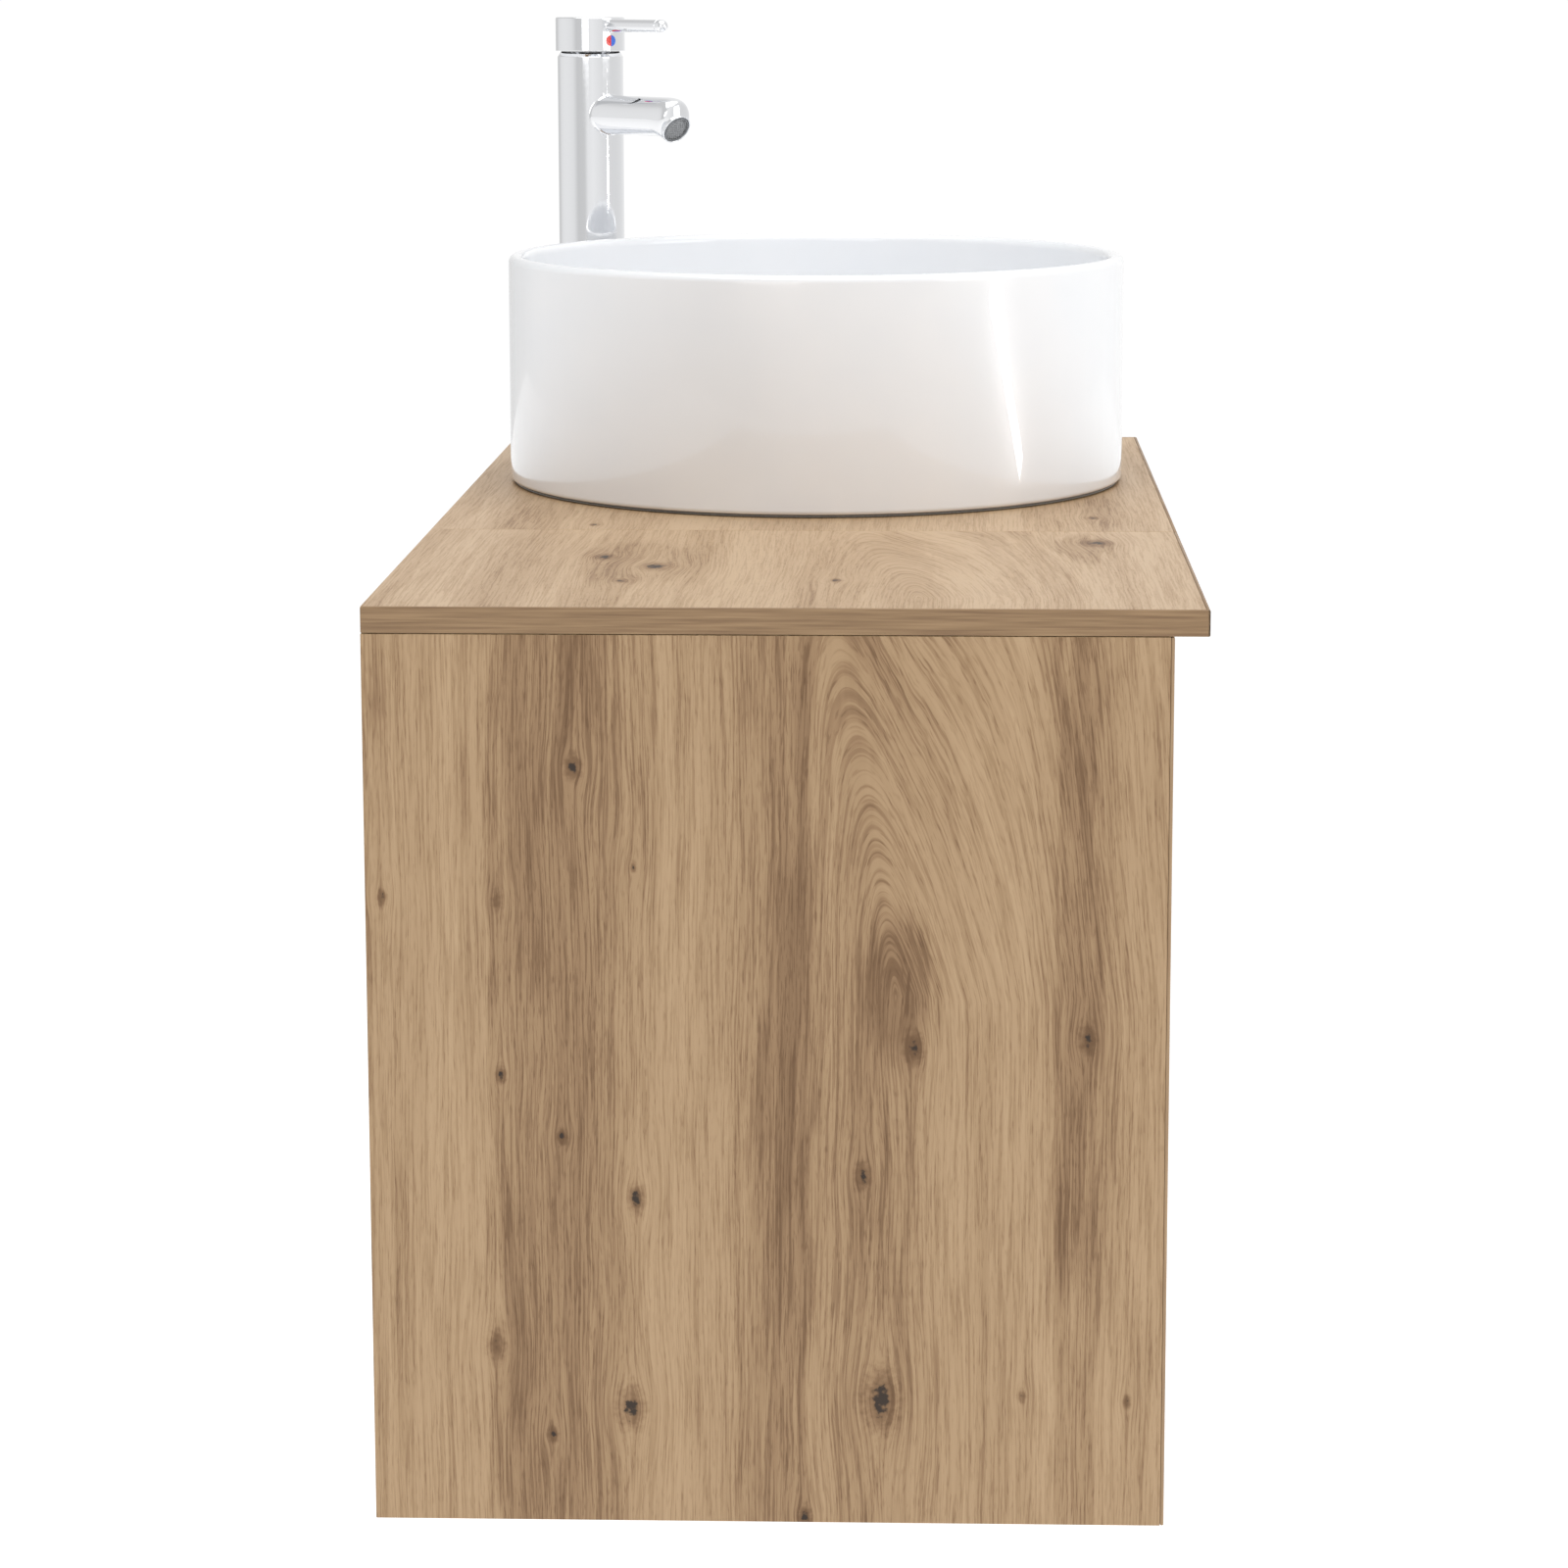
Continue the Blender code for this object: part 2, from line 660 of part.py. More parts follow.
def make_upper_drawer(front_mat, side_mat, guard_mat, steel):
    """The upper drawer. Its base and back stop at a guard that clears the trap and the pipe."""
    low = UPPER_BOTTOM + BOX_RISE
    box_z = (low, low + UPPER_BOX_HEIGHT)
    pieces = make_drawer_shell("upper_drawer", (UPPER_BOTTOM, FRONT_TOP), box_z, front_mat, side_mat)
    x0, x1 = both(box_sides(), BOX_BOARD + TOUCH)
    back = INNER_Y + BOX_LENGTH
    inner = TRAP_RADIUS + TRAP_ROOM
    outer = inner + GUARD_WALL
    guard_front = BASIN_Y - outer
    guard = u_outline(outer, inner, guard_front, BASIN_Y - inner, back)
    guard_low = low + BASE_RISE
    pieces.append(prism("drawer_trap_guard", guard, guard_low, box_z[1], guard_mat))
    back_y = (back - BOX_BOARD, back)
    left_x = (x0, BASIN_X - outer - TOUCH)
    right_x = (BASIN_X + outer + TOUCH, x1)
    pieces.append(board("upper_drawer_back_left", left_x, back_y, box_z, side_mat))
    pieces.append(board("upper_drawer_back_right", right_x, back_y, box_z, side_mat))
    front_y, base_back = INNER_Y + TOUCH, back_y[0] - TOUCH
    base = [
        (x0, front_y),
        (x1, front_y),
        (x1, base_back),
        (right_x[0], base_back),
        (right_x[0], guard_front - TOUCH),
        (left_x[1], guard_front - TOUCH),
        (left_x[1], base_back),
        (x0, base_back),
    ]
    pieces.append(prism("upper_drawer_base", base, guard_low, guard_low + BASE_BOARD, side_mat))
    pieces += make_runner_pair("upper", low + UPPER_BOX_HEIGHT / 2, steel)
    carry(axis_empty("upper_drawer_slide", (BASIN_X, FACE_Y, low)), *pieces)


def make_basin(mat):
    """The round basin: straight outside, rounded rim, rounded bowl corner, floor falling to the waste."""
    rim = BASIN_WALL / 2
    inner = BASIN_RADIUS - BASIN_WALL
    floor_edge = BASIN_FLOOR + BOWL_FALL
    seat = WASTE_FLANGE + SEAT_PLAY
    foot_out = BASIN_RADIUS - FOOT_RADIUS
    foot_in = BASIN_RADIUS - FOOT_WIDTH
    boss = WASTE_RADIUS + FOOT_WIDTH
    hole = WASTE_RADIUS + WASTE_PLAY
    corner = (inner - BOWL_CORNER, floor_edge + BOWL_CORNER)
    profile = arc((BASIN_RADIUS - rim, BASIN_HEIGHT - rim), rim, 0, 180, 8)
    profile += arc(corner, BOWL_CORNER, 0, -90, 8)
    profile += [
        (seat + SEAT_EASE, BASIN_FLOOR + SEAT_FALL),
        (seat, BASIN_FLOOR),
        (seat, BASIN_FLOOR - SEAT_DEPTH),
        (hole, BASIN_FLOOR - SEAT_DEPTH),
        (hole, 0),
        (boss, 0),
        (boss + FOOT_SLOPE, FOOT_RECESS),
        (foot_in - FOOT_SLOPE, FOOT_RECESS),
        (foot_in, 0),
    ]
    profile += arc((foot_out, FOOT_RADIUS), FOOT_RADIUS, -90, 0, 3)
    turned("basin", profile, mat, (BASIN_X, BASIN_Y, BASIN_Z), 72)


def make_basin_seal(mat):
    """A thin ring of sealant under the basin's foot."""
    outer = BASIN_RADIUS - FOOT_RADIUS + SEAL_PROUD
    inner = BASIN_RADIUS - FOOT_WIDTH + SEAL_INSET
    profile = [(outer, 0), (outer, SEAL), (inner, SEAL), (inner, 0)]
    turned("basin_seal", profile, mat, (BASIN_X, BASIN_Y, WORKTOP_Z + TOUCH), 72)


def make_waste(metal, nut_mat):
    """The flanged waste through basin and worktop, its lift-up plug and its lock nut."""
    flange_low = BASIN_FLOOR - SEAT_DEPTH + TOUCH
    flange_high = flange_low + FLANGE_THICKNESS
    tail = CARCASS_HEIGHT - WASTE_LENGTH - BASIN_Z
    body = [
        (WASTE_FLANGE, flange_low),
        (WASTE_FLANGE, flange_high - FLANGE_CHAMFER),
        (WASTE_FLANGE - FLANGE_CHAMFER, flange_high),
        (WASTE_BORE + MOUTH_CHAMFER, flange_high),
        (WASTE_BORE, flange_high - MOUTH_CHAMFER),
        (WASTE_BORE, tail),
        (WASTE_RADIUS, tail),
        (WASTE_RADIUS, flange_low),
    ]
    centre = (BASIN_X, BASIN_Y, BASIN_Z)
    turned("drain_body", body, metal, centre, 48)
    plug_low = flange_high + TOUCH
    plug = [(share * PLUG_RADIUS, plug_low + rise) for share, rise in PLUG_CROWN]
    plug += [
        (PLUG_RADIUS - PLUG_EDGE, plug_low),
        (WASTE_BORE - PLUG_PLAY, plug_low),
        (STEM_RADIUS, plug_low - STEM_SHOULDER),
        (STEM_RADIUS, plug_low - STEM_LENGTH),
        (0, plug_low - STEM_LENGTH),
    ]
    turned("drain_plug", plug, metal, centre, 48)
    nut_high = CARCASS_HEIGHT - TOUCH
    inner = WASTE_RADIUS + TOUCH
    nut = [(NUT_RADIUS, 0), (NUT_RADIUS, NUT_HEIGHT), (inner, NUT_HEIGHT), (inner, 0)]
    turned("drain_nut", nut, nut_mat, (BASIN_X, BASIN_Y, nut_high - NUT_HEIGHT), 48)


def make_trap(mat):
    """A bottle trap: coupling and neck, screw-off cup, and the pipe back to the wall."""
    centre = (BASIN_X, BASIN_Y, TRAP_Z)
    waste_end = CARCASS_HEIGHT - WASTE_LENGTH - TRAP_Z
    coupling_low = waste_end - COUPLING_LAP
    coupling_high = coupling_low + COUPLING_HEIGHT
    body = [
        (COUPLING_RADIUS, coupling_high),
        (WASTE_RADIUS + TRAP_PLAY, coupling_high),
        (WASTE_RADIUS + TRAP_PLAY, waste_end - TRAP_SEAT),
        (PIPE_RADIUS - PIPE_WALL, waste_end - TRAP_SEAT),
        (PIPE_RADIUS - PIPE_WALL, -TRAP_HEIGHT),
        (TRAP_RADIUS, -TRAP_HEIGHT),
        (TRAP_RADIUS, -TRAP_CHAMFER[1]),
        (TRAP_RADIUS - TRAP_CHAMFER[0], 0),
        (PIPE_RADIUS, TRAP_SEAT),
        (PIPE_RADIUS, coupling_low),
        (COUPLING_RADIUS, coupling_low + COUPLING_CHAMFER),
    ]
    neck = turned("trap_body", body, mat, centre, 32)
    hub_start = (BASIN_X, BASIN_Y + PIPE_RADIUS + TRAP_SEAT, PIPE_Z)
    hub_end = (BASIN_X, BASIN_Y + TRAP_RADIUS + HUB_REACH, PIPE_Z)
    join(neck, rod("hub", hub_start, hub_end, PIPE_RADIUS + HUB_WALL, mat, 24))
    cup_low = -TRAP_HEIGHT - TOUCH - CUP_HEIGHT
    cup_high = -TRAP_HEIGHT - TOUCH
    cup = [(0, cup_low + CUP_FLOOR), (0, cup_low)]
    cup += [(TRAP_RADIUS - inset, cup_low + rise) for inset, rise in CUP_ROUND]
    cup += [
        (TRAP_RADIUS, cup_high),
        (TRAP_RADIUS - CUP_WALL, cup_high),
        (TRAP_RADIUS - CUP_WALL - CUP_TAPER, cup_low + CUP_CORNER),
        (0, cup_low + CUP_FLOOR),
    ]
    turned("trap_cup", cup, mat, centre, 32)
    pipe_start = hub_end[1] + TOUCH
    pipe = [
        (PIPE_RADIUS + PIPE_NUT_WALL, pipe_start),
        (PIPE_RADIUS + PIPE_NUT_WALL, pipe_start + PIPE_NUT_LENGTH),
        (PIPE_RADIUS, pipe_start + PIPE_NUT_LENGTH),
        (PIPE_RADIUS, WALL_Y - TOUCH),
        (PIPE_RADIUS - PIPE_WALL, WALL_Y - TOUCH),
        (PIPE_RADIUS - PIPE_WALL, pipe_start),
    ]
    outlet = turned("trap_outlet", pipe, mat, (0, 0, 0), 24)
    outlet.data.transform(Matrix.Rotation(-math.pi / 2, 4, "X"))
    outlet.location = (BASIN_X, 0, PIPE_Z)


def make_tap_body(mat):
    """The tall tap column with its spout, cartridge seat, shank and two blind inlets."""
    column = [
        (0, TAP_NECK_TOP - CARTRIDGE_LENGTH - TOUCH),
        (CARTRIDGE_RADIUS + TOUCH, TAP_NECK_TOP - CARTRIDGE_LENGTH - TOUCH),
        (CARTRIDGE_RADIUS + TOUCH, TAP_NECK_TOP),
        (TAP_NECK_RADIUS, TAP_NECK_TOP),
        (TAP_NECK_RADIUS, CONE_TOP),
        (CONE_RADIUS, CONE_TOP),
        (TAP_RADIUS, TAP_SHOULDER),
        (TAP_RADIUS, TOUCH),
        (SHANK_RADIUS, TOUCH),
        (SHANK_RADIUS, -SHANK_LENGTH),
        (0, -SHANK_LENGTH),
    ]
    body = turned("tap_body", column, mat, (0, 0, 0), 48)
    root = math.sqrt(TAP_RADIUS**2 - SPOUT_RADIUS**2) - TOUCH
    ends = ((root, 0, SPOUT_HEIGHT), (SPOUT_LENGTH, 0, SPOUT_HEIGHT))
    spout = rod("spout", *ends, SPOUT_RADIUS, mat, 32)
    combine(spout, mouth_envelope(mat), "INTERSECT")
    collar = mouth_tool("collar", COLLAR_RADIUS, -COLLAR_DEPTH, 0, mat)
    join(body, spout, collar)
    cut(body, mouth_tool("aerator_seat", AERATOR_RADIUS + TOUCH, -AERATOR_DEPTH - TOUCH, TOOL_REACH, mat))
    for side in (-1, 1):
        y = side * SHANK_RADIUS / 2
        low, high = -SHANK_LENGTH - TOOL_REACH, -SHANK_LENGTH + INLET_DEPTH
        cut(body, rod("inlet", (0, y, low), (0, y, high), INLET_RADIUS, mat, 16))
    return body


def mouth_frame():
    """Where the spout's mouth is and how it is turned: local +Z leans out and down."""
    centre = Vector((MOUTH_REACH, 0, SPOUT_HEIGHT - MOUTH_DROP))
    return Matrix.Translation(centre) @ Matrix.Rotation(math.pi / 2 + MOUTH_LEAN, 4, "Y")


def mouth_tool(name, radius, low, high, mat, segments=32):
    """A short cylinder on the mouth's own axis, between two depths along it."""
    frame = mouth_frame()
    start, end = frame @ Vector((0, 0, low)), frame @ Vector((0, 0, high))
    return rod(name, start, end, radius, mat, segments)


def mouth_envelope(mat):
    """A cone with a rounded nose, on the mouth's axis, that the spout's end is kept inside."""
    nose = COLLAR_RADIUS - TOUCH
    reach = SPOUT_LENGTH
    profile = [(0, 0)]
    profile += arc((nose, -MOUTH_FILLET), MOUTH_FILLET, 90, 0, 4)
    profile += [
        (nose + MOUTH_FILLET + reach, -MOUTH_FILLET - reach),
        (nose + MOUTH_FILLET + reach, -2 * reach),
        (0, -2 * reach),
    ]
    envelope = turned("mouth_envelope", profile, mat, (0, 0, 0), 40)
    envelope.data.transform(mouth_frame())
    return envelope


def make_aerator(mat):
    """The jet regulator in the mouth, with a dished face."""
    shell = mouth_tool("tap_aerator", AERATOR_RADIUS, -AERATOR_DEPTH, AERATOR_PROUD, mat)
    dish = mouth_tool("dish", AERATOR_RADIUS - AERATOR_RIM, AERATOR_PROUD - AERATOR_DISH, TOOL_REACH, mat)
    return cut(shell, dish)


def make_cartridge(mat):
    """The mixing cartridge in the column's head, with a socket for the spindle."""
    low = TAP_NECK_TOP - CARTRIDGE_LENGTH
    socket = SPINDLE_RADIUS + TOUCH
    profile = [
        (0, low),
        (CARTRIDGE_RADIUS, low),
        (CARTRIDGE_RADIUS, TAP_NECK_TOP - TOUCH),
        (socket, TAP_NECK_TOP - TOUCH),
        (socket, TAP_NECK_TOP - SPINDLE_SOCKET),
        (0, TAP_NECK_TOP - SPINDLE_SOCKET),
    ]
    return turned("tap_cartridge", profile, mat, (0, 0, 0), 32)


def make_spindle(mat):
    low = TAP_NECK_TOP - SPINDLE_SOCKET + TOUCH
    return rod("tap_spindle", (0, 0, low), (0, 0, SPINDLE_TOP), SPINDLE_RADIUS, mat, 16)


def make_lever(mat):
    """The cap over the column's head with its round lever pin."""
    inner = CAP_RADIUS - CAP_WALL
    roof = CAP_TOP - CAP_ROOF
    profile = [
        (0, CAP_TOP),
        (CAP_RADIUS - CAP_CHAMFER, CAP_TOP),
        (CAP_RADIUS, CAP_TOP - CAP_CHAMFER),
        (CAP_RADIUS, CAP_BOTTOM),
        (inner, CAP_BOTTOM),
        (inner, roof),
        (0, roof),
    ]
    lever = turned("tap_lever", profile, mat, (0, 0, 0), 48)
    root = (CAP_RADIUS - CAP_WALL / 2, 0, LEVER_HEIGHT)
    tip = (LEVER_REACH, 0, LEVER_HEIGHT)
    join(lever, rod("pin", root, tip, LEVER_RADIUS, mat, 20))
    seat_depth = CAP_RADIUS - CAP_WALL * INDEX_SEAT
    seat_end = CAP_RADIUS + TOOL_REACH
    seat = ((seat_depth, 0, INDEX_HEIGHT), (seat_end, 0, INDEX_HEIGHT))
    return cut(lever, rod("index_seat", *seat, INDEX_RADIUS + TOUCH, mat, 20))


def make_index(mat):
    """The hot and cold marker pressed into the cap under the lever."""
    start = (CAP_RADIUS - CAP_WALL * INDEX_SEAT + TOUCH, 0, INDEX_HEIGHT)
    end = (CAP_RADIUS + INDEX_PROUD, 0, INDEX_HEIGHT)
    return rod("tap_index", start, end, INDEX_RADIUS, mat, 20)


def make_tap(metal, plastic, steel, index_mat, grey):
    """The mixer, built with its spout along +X and turned towards the basin by its empty."""
    turn = math.pi + TAP_ANGLE
    column = axis_empty("tap_axis", (TAP_X, TAP_Y, WORKTOP_Z), turn=turn)
    swivel = axis_empty("lever_swivel", (0, 0, 0), column)
    tilt = axis_empty("lever_tilt", (0, 0, CAP_BOTTOM - PIVOT_DROP), swivel)
    for piece in (make_tap_body(metal), make_aerator(grey), make_cartridge(plastic)):
        piece.parent = column
    make_spindle(steel).parent = swivel
    for piece in (make_lever(metal), make_index(index_mat)):
        piece.location.z -= tilt.location.z
        piece.parent = tilt
    inner = SHANK_RADIUS + TOUCH
    nut = [(TAP_NUT_RADIUS, 0), (TAP_NUT_RADIUS, NUT_HEIGHT), (inner, NUT_HEIGHT), (inner, 0)]
    nut_z = CARCASS_HEIGHT - TOUCH - NUT_HEIGHT
    turned("tap_nut", nut, steel, (TAP_X, TAP_Y, nut_z), 48)


def build():
    clear_scene()
    wood = oak()
    sides = box_board()
    steel = zinc_steel()
    metal = chrome()
    plastic = white_plastic()
    grey = grey_plastic()
    make_side_panels(wood)
    make_floors_and_rails(wood)
    make_backs(back_board())
    make_worktops(wood)
    make_shelf(wood, steel)
    make_door(wood, steel)
    make_lower_drawer(wood, sides, steel)
    make_upper_drawer(wood, sides, grey, steel)
    make_basin(ceramic())
    make_basin_seal(sealant())
    make_waste(metal, plastic)
    make_trap(plastic)
    make_tap(metal, plastic, steel, index_plastic(), grey)


build()
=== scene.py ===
# %% [markdown]
# # A wall-hung vanity with a round counter-top basin
# The unit is two laminated carcasses side by side, a narrow cupboard and a wider drawer unit, each
# with its own oak-print worktop. A glazed basin and a tall chromed mixer stand on the right-hand
# one. The working parts are already solid models with joints. This lesson gives them their finish.
# We start by loading the solid model.

# %% Load the solid model
import json
import math

import bmesh
import bpy
from mathutils import Matrix, Vector

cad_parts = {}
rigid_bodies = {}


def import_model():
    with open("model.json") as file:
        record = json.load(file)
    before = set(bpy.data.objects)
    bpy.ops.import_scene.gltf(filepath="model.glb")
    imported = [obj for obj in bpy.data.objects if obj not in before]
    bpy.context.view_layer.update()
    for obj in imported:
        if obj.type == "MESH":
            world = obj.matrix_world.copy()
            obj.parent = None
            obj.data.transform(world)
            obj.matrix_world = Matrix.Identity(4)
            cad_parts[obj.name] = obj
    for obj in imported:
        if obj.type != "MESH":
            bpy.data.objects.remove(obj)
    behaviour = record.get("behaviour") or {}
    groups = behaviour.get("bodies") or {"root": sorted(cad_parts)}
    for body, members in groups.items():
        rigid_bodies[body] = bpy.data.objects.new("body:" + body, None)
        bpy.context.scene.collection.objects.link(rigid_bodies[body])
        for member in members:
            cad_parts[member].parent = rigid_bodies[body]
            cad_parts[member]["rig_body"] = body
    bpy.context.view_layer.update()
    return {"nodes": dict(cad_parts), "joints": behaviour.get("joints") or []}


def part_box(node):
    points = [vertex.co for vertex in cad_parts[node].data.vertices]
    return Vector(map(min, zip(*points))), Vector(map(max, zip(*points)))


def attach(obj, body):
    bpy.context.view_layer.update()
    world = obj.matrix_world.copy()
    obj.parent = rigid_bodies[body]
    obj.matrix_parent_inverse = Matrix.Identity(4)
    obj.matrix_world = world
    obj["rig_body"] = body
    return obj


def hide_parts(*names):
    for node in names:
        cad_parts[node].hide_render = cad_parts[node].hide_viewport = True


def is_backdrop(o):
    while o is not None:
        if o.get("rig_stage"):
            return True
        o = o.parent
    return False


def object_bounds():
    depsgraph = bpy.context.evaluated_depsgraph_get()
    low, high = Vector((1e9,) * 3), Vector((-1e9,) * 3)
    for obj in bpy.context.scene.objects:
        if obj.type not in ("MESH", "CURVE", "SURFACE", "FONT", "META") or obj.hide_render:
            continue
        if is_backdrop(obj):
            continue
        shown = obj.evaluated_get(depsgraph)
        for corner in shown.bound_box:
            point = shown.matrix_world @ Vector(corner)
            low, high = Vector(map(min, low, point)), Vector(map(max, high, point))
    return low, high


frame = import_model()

# %% [markdown]
# ## Names for places
# Every later piece is placed from the solid model's own boxes. The wall is at +Y, the fronts face
# -Y and the cupboard is at -X. The tap and the basin give the two upright axes for turned pieces.

# %% Places taken from the solid model
MM = 0.001
TOUCH = 0.3 * MM  # room between pieces that touch


def corners(node):
    low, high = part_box(node)
    return Vector(low), Vector(high)


PANEL_LOW, PANEL_HIGH = corners("left_end_panel")
TOP_LOW, TOP_HIGH = corners("cupboard_worktop")
SINK_LOW = corners("sink_worktop")[0]
BASIN_LOW, BASIN_HIGH = corners("basin")
WALL_Y = PANEL_HIGH.y
WORKTOP_Z = TOP_HIGH.z
BASIN_AXIS = (BASIN_LOW + BASIN_HIGH) / 2
TAP_AXIS = Vector(next(j["pos_m"] for j in frame["joints"] if j["name"] == "lever_swivel"))
SPOUT_WAY = math.atan2(BASIN_AXIS.y - TAP_AXIS.y, BASIN_AXIS.x - TAP_AXIS.x)
print("worktop at", round(WORKTOP_Z, 4), "tap axis", [round(v, 4) for v in TAP_AXIS])

# %% [markdown]
# ## The camera
# The view is from the cupboard's end, straight along the unit, with a long lens from about two
# metres, so the end panel shows as a near rectangle and the worktop narrows only a little. A lens
# shift and a downward tilt put the whole unit in the frame; the tilt makes its uprights lean a bit.

# %% Camera
EYE_DISTANCE = 2.0756  # from the end panel's face
EYE_HEIGHT = 0.337  # above the worktop
EYE_FROM_WALL = 0.3126
LENS_MM = 89.48
SENSOR_MM = 36.0
SHIFT_X = -0.0325
SHIFT_Y = -0.14
TILT = math.radians(8.57)  # downwards
TURN = math.radians(1.52)  # towards the wall

eye = Vector((PANEL_LOW.x - EYE_DISTANCE, WALL_Y - EYE_FROM_WALL, WORKTOP_Z + EYE_HEIGHT))
camera_data = bpy.data.cameras.new("camera")
camera_data.lens = LENS_MM
camera_data.sensor_width = SENSOR_MM
camera_data.shift_x = SHIFT_X
camera_data.shift_y = SHIFT_Y
camera = bpy.data.objects.new("camera", camera_data)
bpy.context.scene.collection.objects.link(camera)
camera.location = eye
camera.rotation_euler = (math.pi / 2 - TILT, 0, TURN - math.pi / 2)
bpy.context.scene.camera = camera
print("eye at", [round(v, 3) for v in eye], "lens", LENS_MM, "mm")

# %% [markdown]
# ## Colour and nodes
# Colours are the hex values of a paint chart, turned to the renderer's linear ones. One function adds
# a shader node, and the short ones after it name the kinds of node that the recipes are made of.

# %% Colour and node helpers


def linear(hex_colour):
    """The linear RGBA of an sRGB hex colour."""
    parts = [int(hex_colour[i : i + 2], 16) / 255 for i in (1, 3, 5)]
    return (*[c / 12.92 if c <= 0.04045 else ((c + 0.055) / 1.055) ** 2.4 for c in parts], 1.0)


def add(tree, kind, inputs=None, **settings):
    """Adds a node: settings are its properties, inputs are values or other nodes' outputs."""
    node = tree.nodes.new(kind)
    for key, value in settings.items():
        setattr(node, key, value)
    for socket, value in (inputs or {}).items():
        if isinstance(value, bpy.types.NodeSocket):
            tree.links.new(value, node.inputs[socket])
        else:
            node.inputs[socket].default_value = value
    return node


def maths(tree, operation, *values):
    """One sum on numbers."""
    return add(tree, "ShaderNodeMath", dict(enumerate(values)), operation=operation).outputs[0]


def vectors(tree, operation, *values):
    """One sum on places. A dot product or a length gives a number."""
    node = add(tree, "ShaderNodeVectorMath", dict(enumerate(values)), operation=operation)
    return node.outputs["Value" if operation in ("DOT_PRODUCT", "LENGTH") else "Vector"]


def combined(tree, **sides):
    return add(tree, "ShaderNodeCombineXYZ", sides).outputs[0]


def separated(tree, place):
    return add(tree, "ShaderNodeSeparateXYZ", {"Vector": place}).outputs


def object_place(tree):
    return add(tree, "ShaderNodeTexCoord").outputs["Object"]


def noise(tree, place, scale, detail=2.0, rough=0.5):
    inputs = {"Vector": place, "Scale": scale, "Detail": detail, "Roughness": rough}
    return add(tree, "ShaderNodeTexNoise", inputs).outputs["Fac"]


def cells(tree, place, size_mm, output="Distance", randomness=1.0):
    """Cells of about the given size: the distance from each one's middle, or its own colour."""
    inputs = {"Vector": place, "Scale": 1 / (size_mm * MM), "Randomness": randomness}
    return add(tree, "ShaderNodeTexVoronoi", inputs).outputs[output]


def ranged(tree, value, low, high, start, end, kind="LINEAR"):
    """Start below one value, end above another, and in step between them."""
    inputs = {"Value": value, "From Min": low, "From Max": high, "To Min": start, "To Max": end}
    return add(tree, "ShaderNodeMapRange", inputs, interpolation_type=kind).outputs["Result"]


def ramp(tree, value, stops, kind="LINEAR"):
    """A colour ramp read at a value. Stops are pairs of place and hex colour or grey level."""
    node = add(tree, "ShaderNodeValToRGB", {"Fac": value})
    node.color_ramp.interpolation = kind
    elements = node.color_ramp.elements
    elements.remove(elements[1])
    elements[0].position = stops[0][0]
    for i, (place, shade) in enumerate(stops):
        element = elements.new(place) if i else elements[0]
        element.color = linear(shade) if isinstance(shade, str) else (shade, shade, shade, 1)
    return node.outputs["Color"]


def relief(tree, shader, height, strength, depth_mm, socket="Normal"):
    """Bends the shader's normal as a height of up to the depth would."""
    bump = add(tree, "ShaderNodeBump", {"Height": height, "Strength": strength, "Distance": depth_mm * MM})
    tree.links.new(bump.outputs["Normal"], shader.inputs[socket])


def new_material(name, **shader_values):
    """A material whose Principled shader has the given constants on its own sockets."""
    mat = bpy.data.materials.new(name)
    mat.use_nodes = True
    shader = mat.node_tree.nodes["Principled BSDF"]
    for socket, value in shader_values.items():
        shader.inputs[socket.replace("_", " ")].default_value = value
    return mat, mat.node_tree, shader


print("node helpers ready")

# %% [markdown]
# ## The floor and the light
# The floor is a wide pale plane below the hung unit that glows a little, as a lit acrylic sweep does.
# The room is a soft grey gradient for the chrome to reflect. Soft boxes light the unit, and one
# narrow strip light draws the bright upright line that shows a glaze is smooth.

# %% Floor, room and lights
FLOOR_DROP = 0.35
FLOOR_SIDE = 14.0
ROOM_WHITE = 1.5  # what the camera sees behind the unit
ROOM_LEVEL = 0.68
MIRROR_EXTRA = 0.35  # how much brighter the room is in reflections
ROOM_GREYS = [(0, 0.79), (0.4, 0.95), (0.56, 0.9), (0.66, 0.68), (0.84, 0.66), (0.93, 0.85), (1, 0.9)]

floor_mesh = bmesh.new()
bmesh.ops.create_grid(floor_mesh, x_segments=1, y_segments=1, size=FLOOR_SIDE / 2)
bmesh.ops.translate(floor_mesh, vec=(0, 0, -FLOOR_DROP), verts=floor_mesh.verts)
floor_data = bpy.data.meshes.new("studio_floor")
floor_mesh.to_mesh(floor_data)
floor_mesh.free()
floor = bpy.data.objects.new("studio_floor", floor_data)
bpy.context.scene.collection.objects.link(floor)
floor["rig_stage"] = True
floor_look = {"Base_Color": linear("#EFEFEF"), "Roughness": 0.9}
floor_glow = {"Emission_Color": linear("#FFFFFF"), "Emission_Strength": 0.52}
floor_data.materials.append(new_material("pale_sweep", **floor_look, **floor_glow)[0])

world = bpy.data.worlds.new("studio_room")
bpy.context.scene.world = world
world.use_nodes = True
room = world.node_tree
background = room.nodes["Background"]
heading = separated(room, add(room, "ShaderNodeTexCoord").outputs["Generated"])
room_tone = ramp(room, maths(room, "MULTIPLY_ADD", heading["Y"], 0.5, 0.5), ROOM_GREYS)
ray = add(room, "ShaderNodeLightPath").outputs
backdrop = {"Factor": ray["Is Camera Ray"], 6: room_tone, 7: (ROOM_WHITE, ROOM_WHITE, ROOM_WHITE, 1)}
shown_room = add(room, "ShaderNodeMix", backdrop, data_type="RGBA").outputs[2]
room.links.new(shown_room, background.inputs["Color"])
room_glow = maths(room, "MULTIPLY_ADD", ray["Is Glossy Ray"], MIRROR_EXTRA, ROOM_LEVEL)
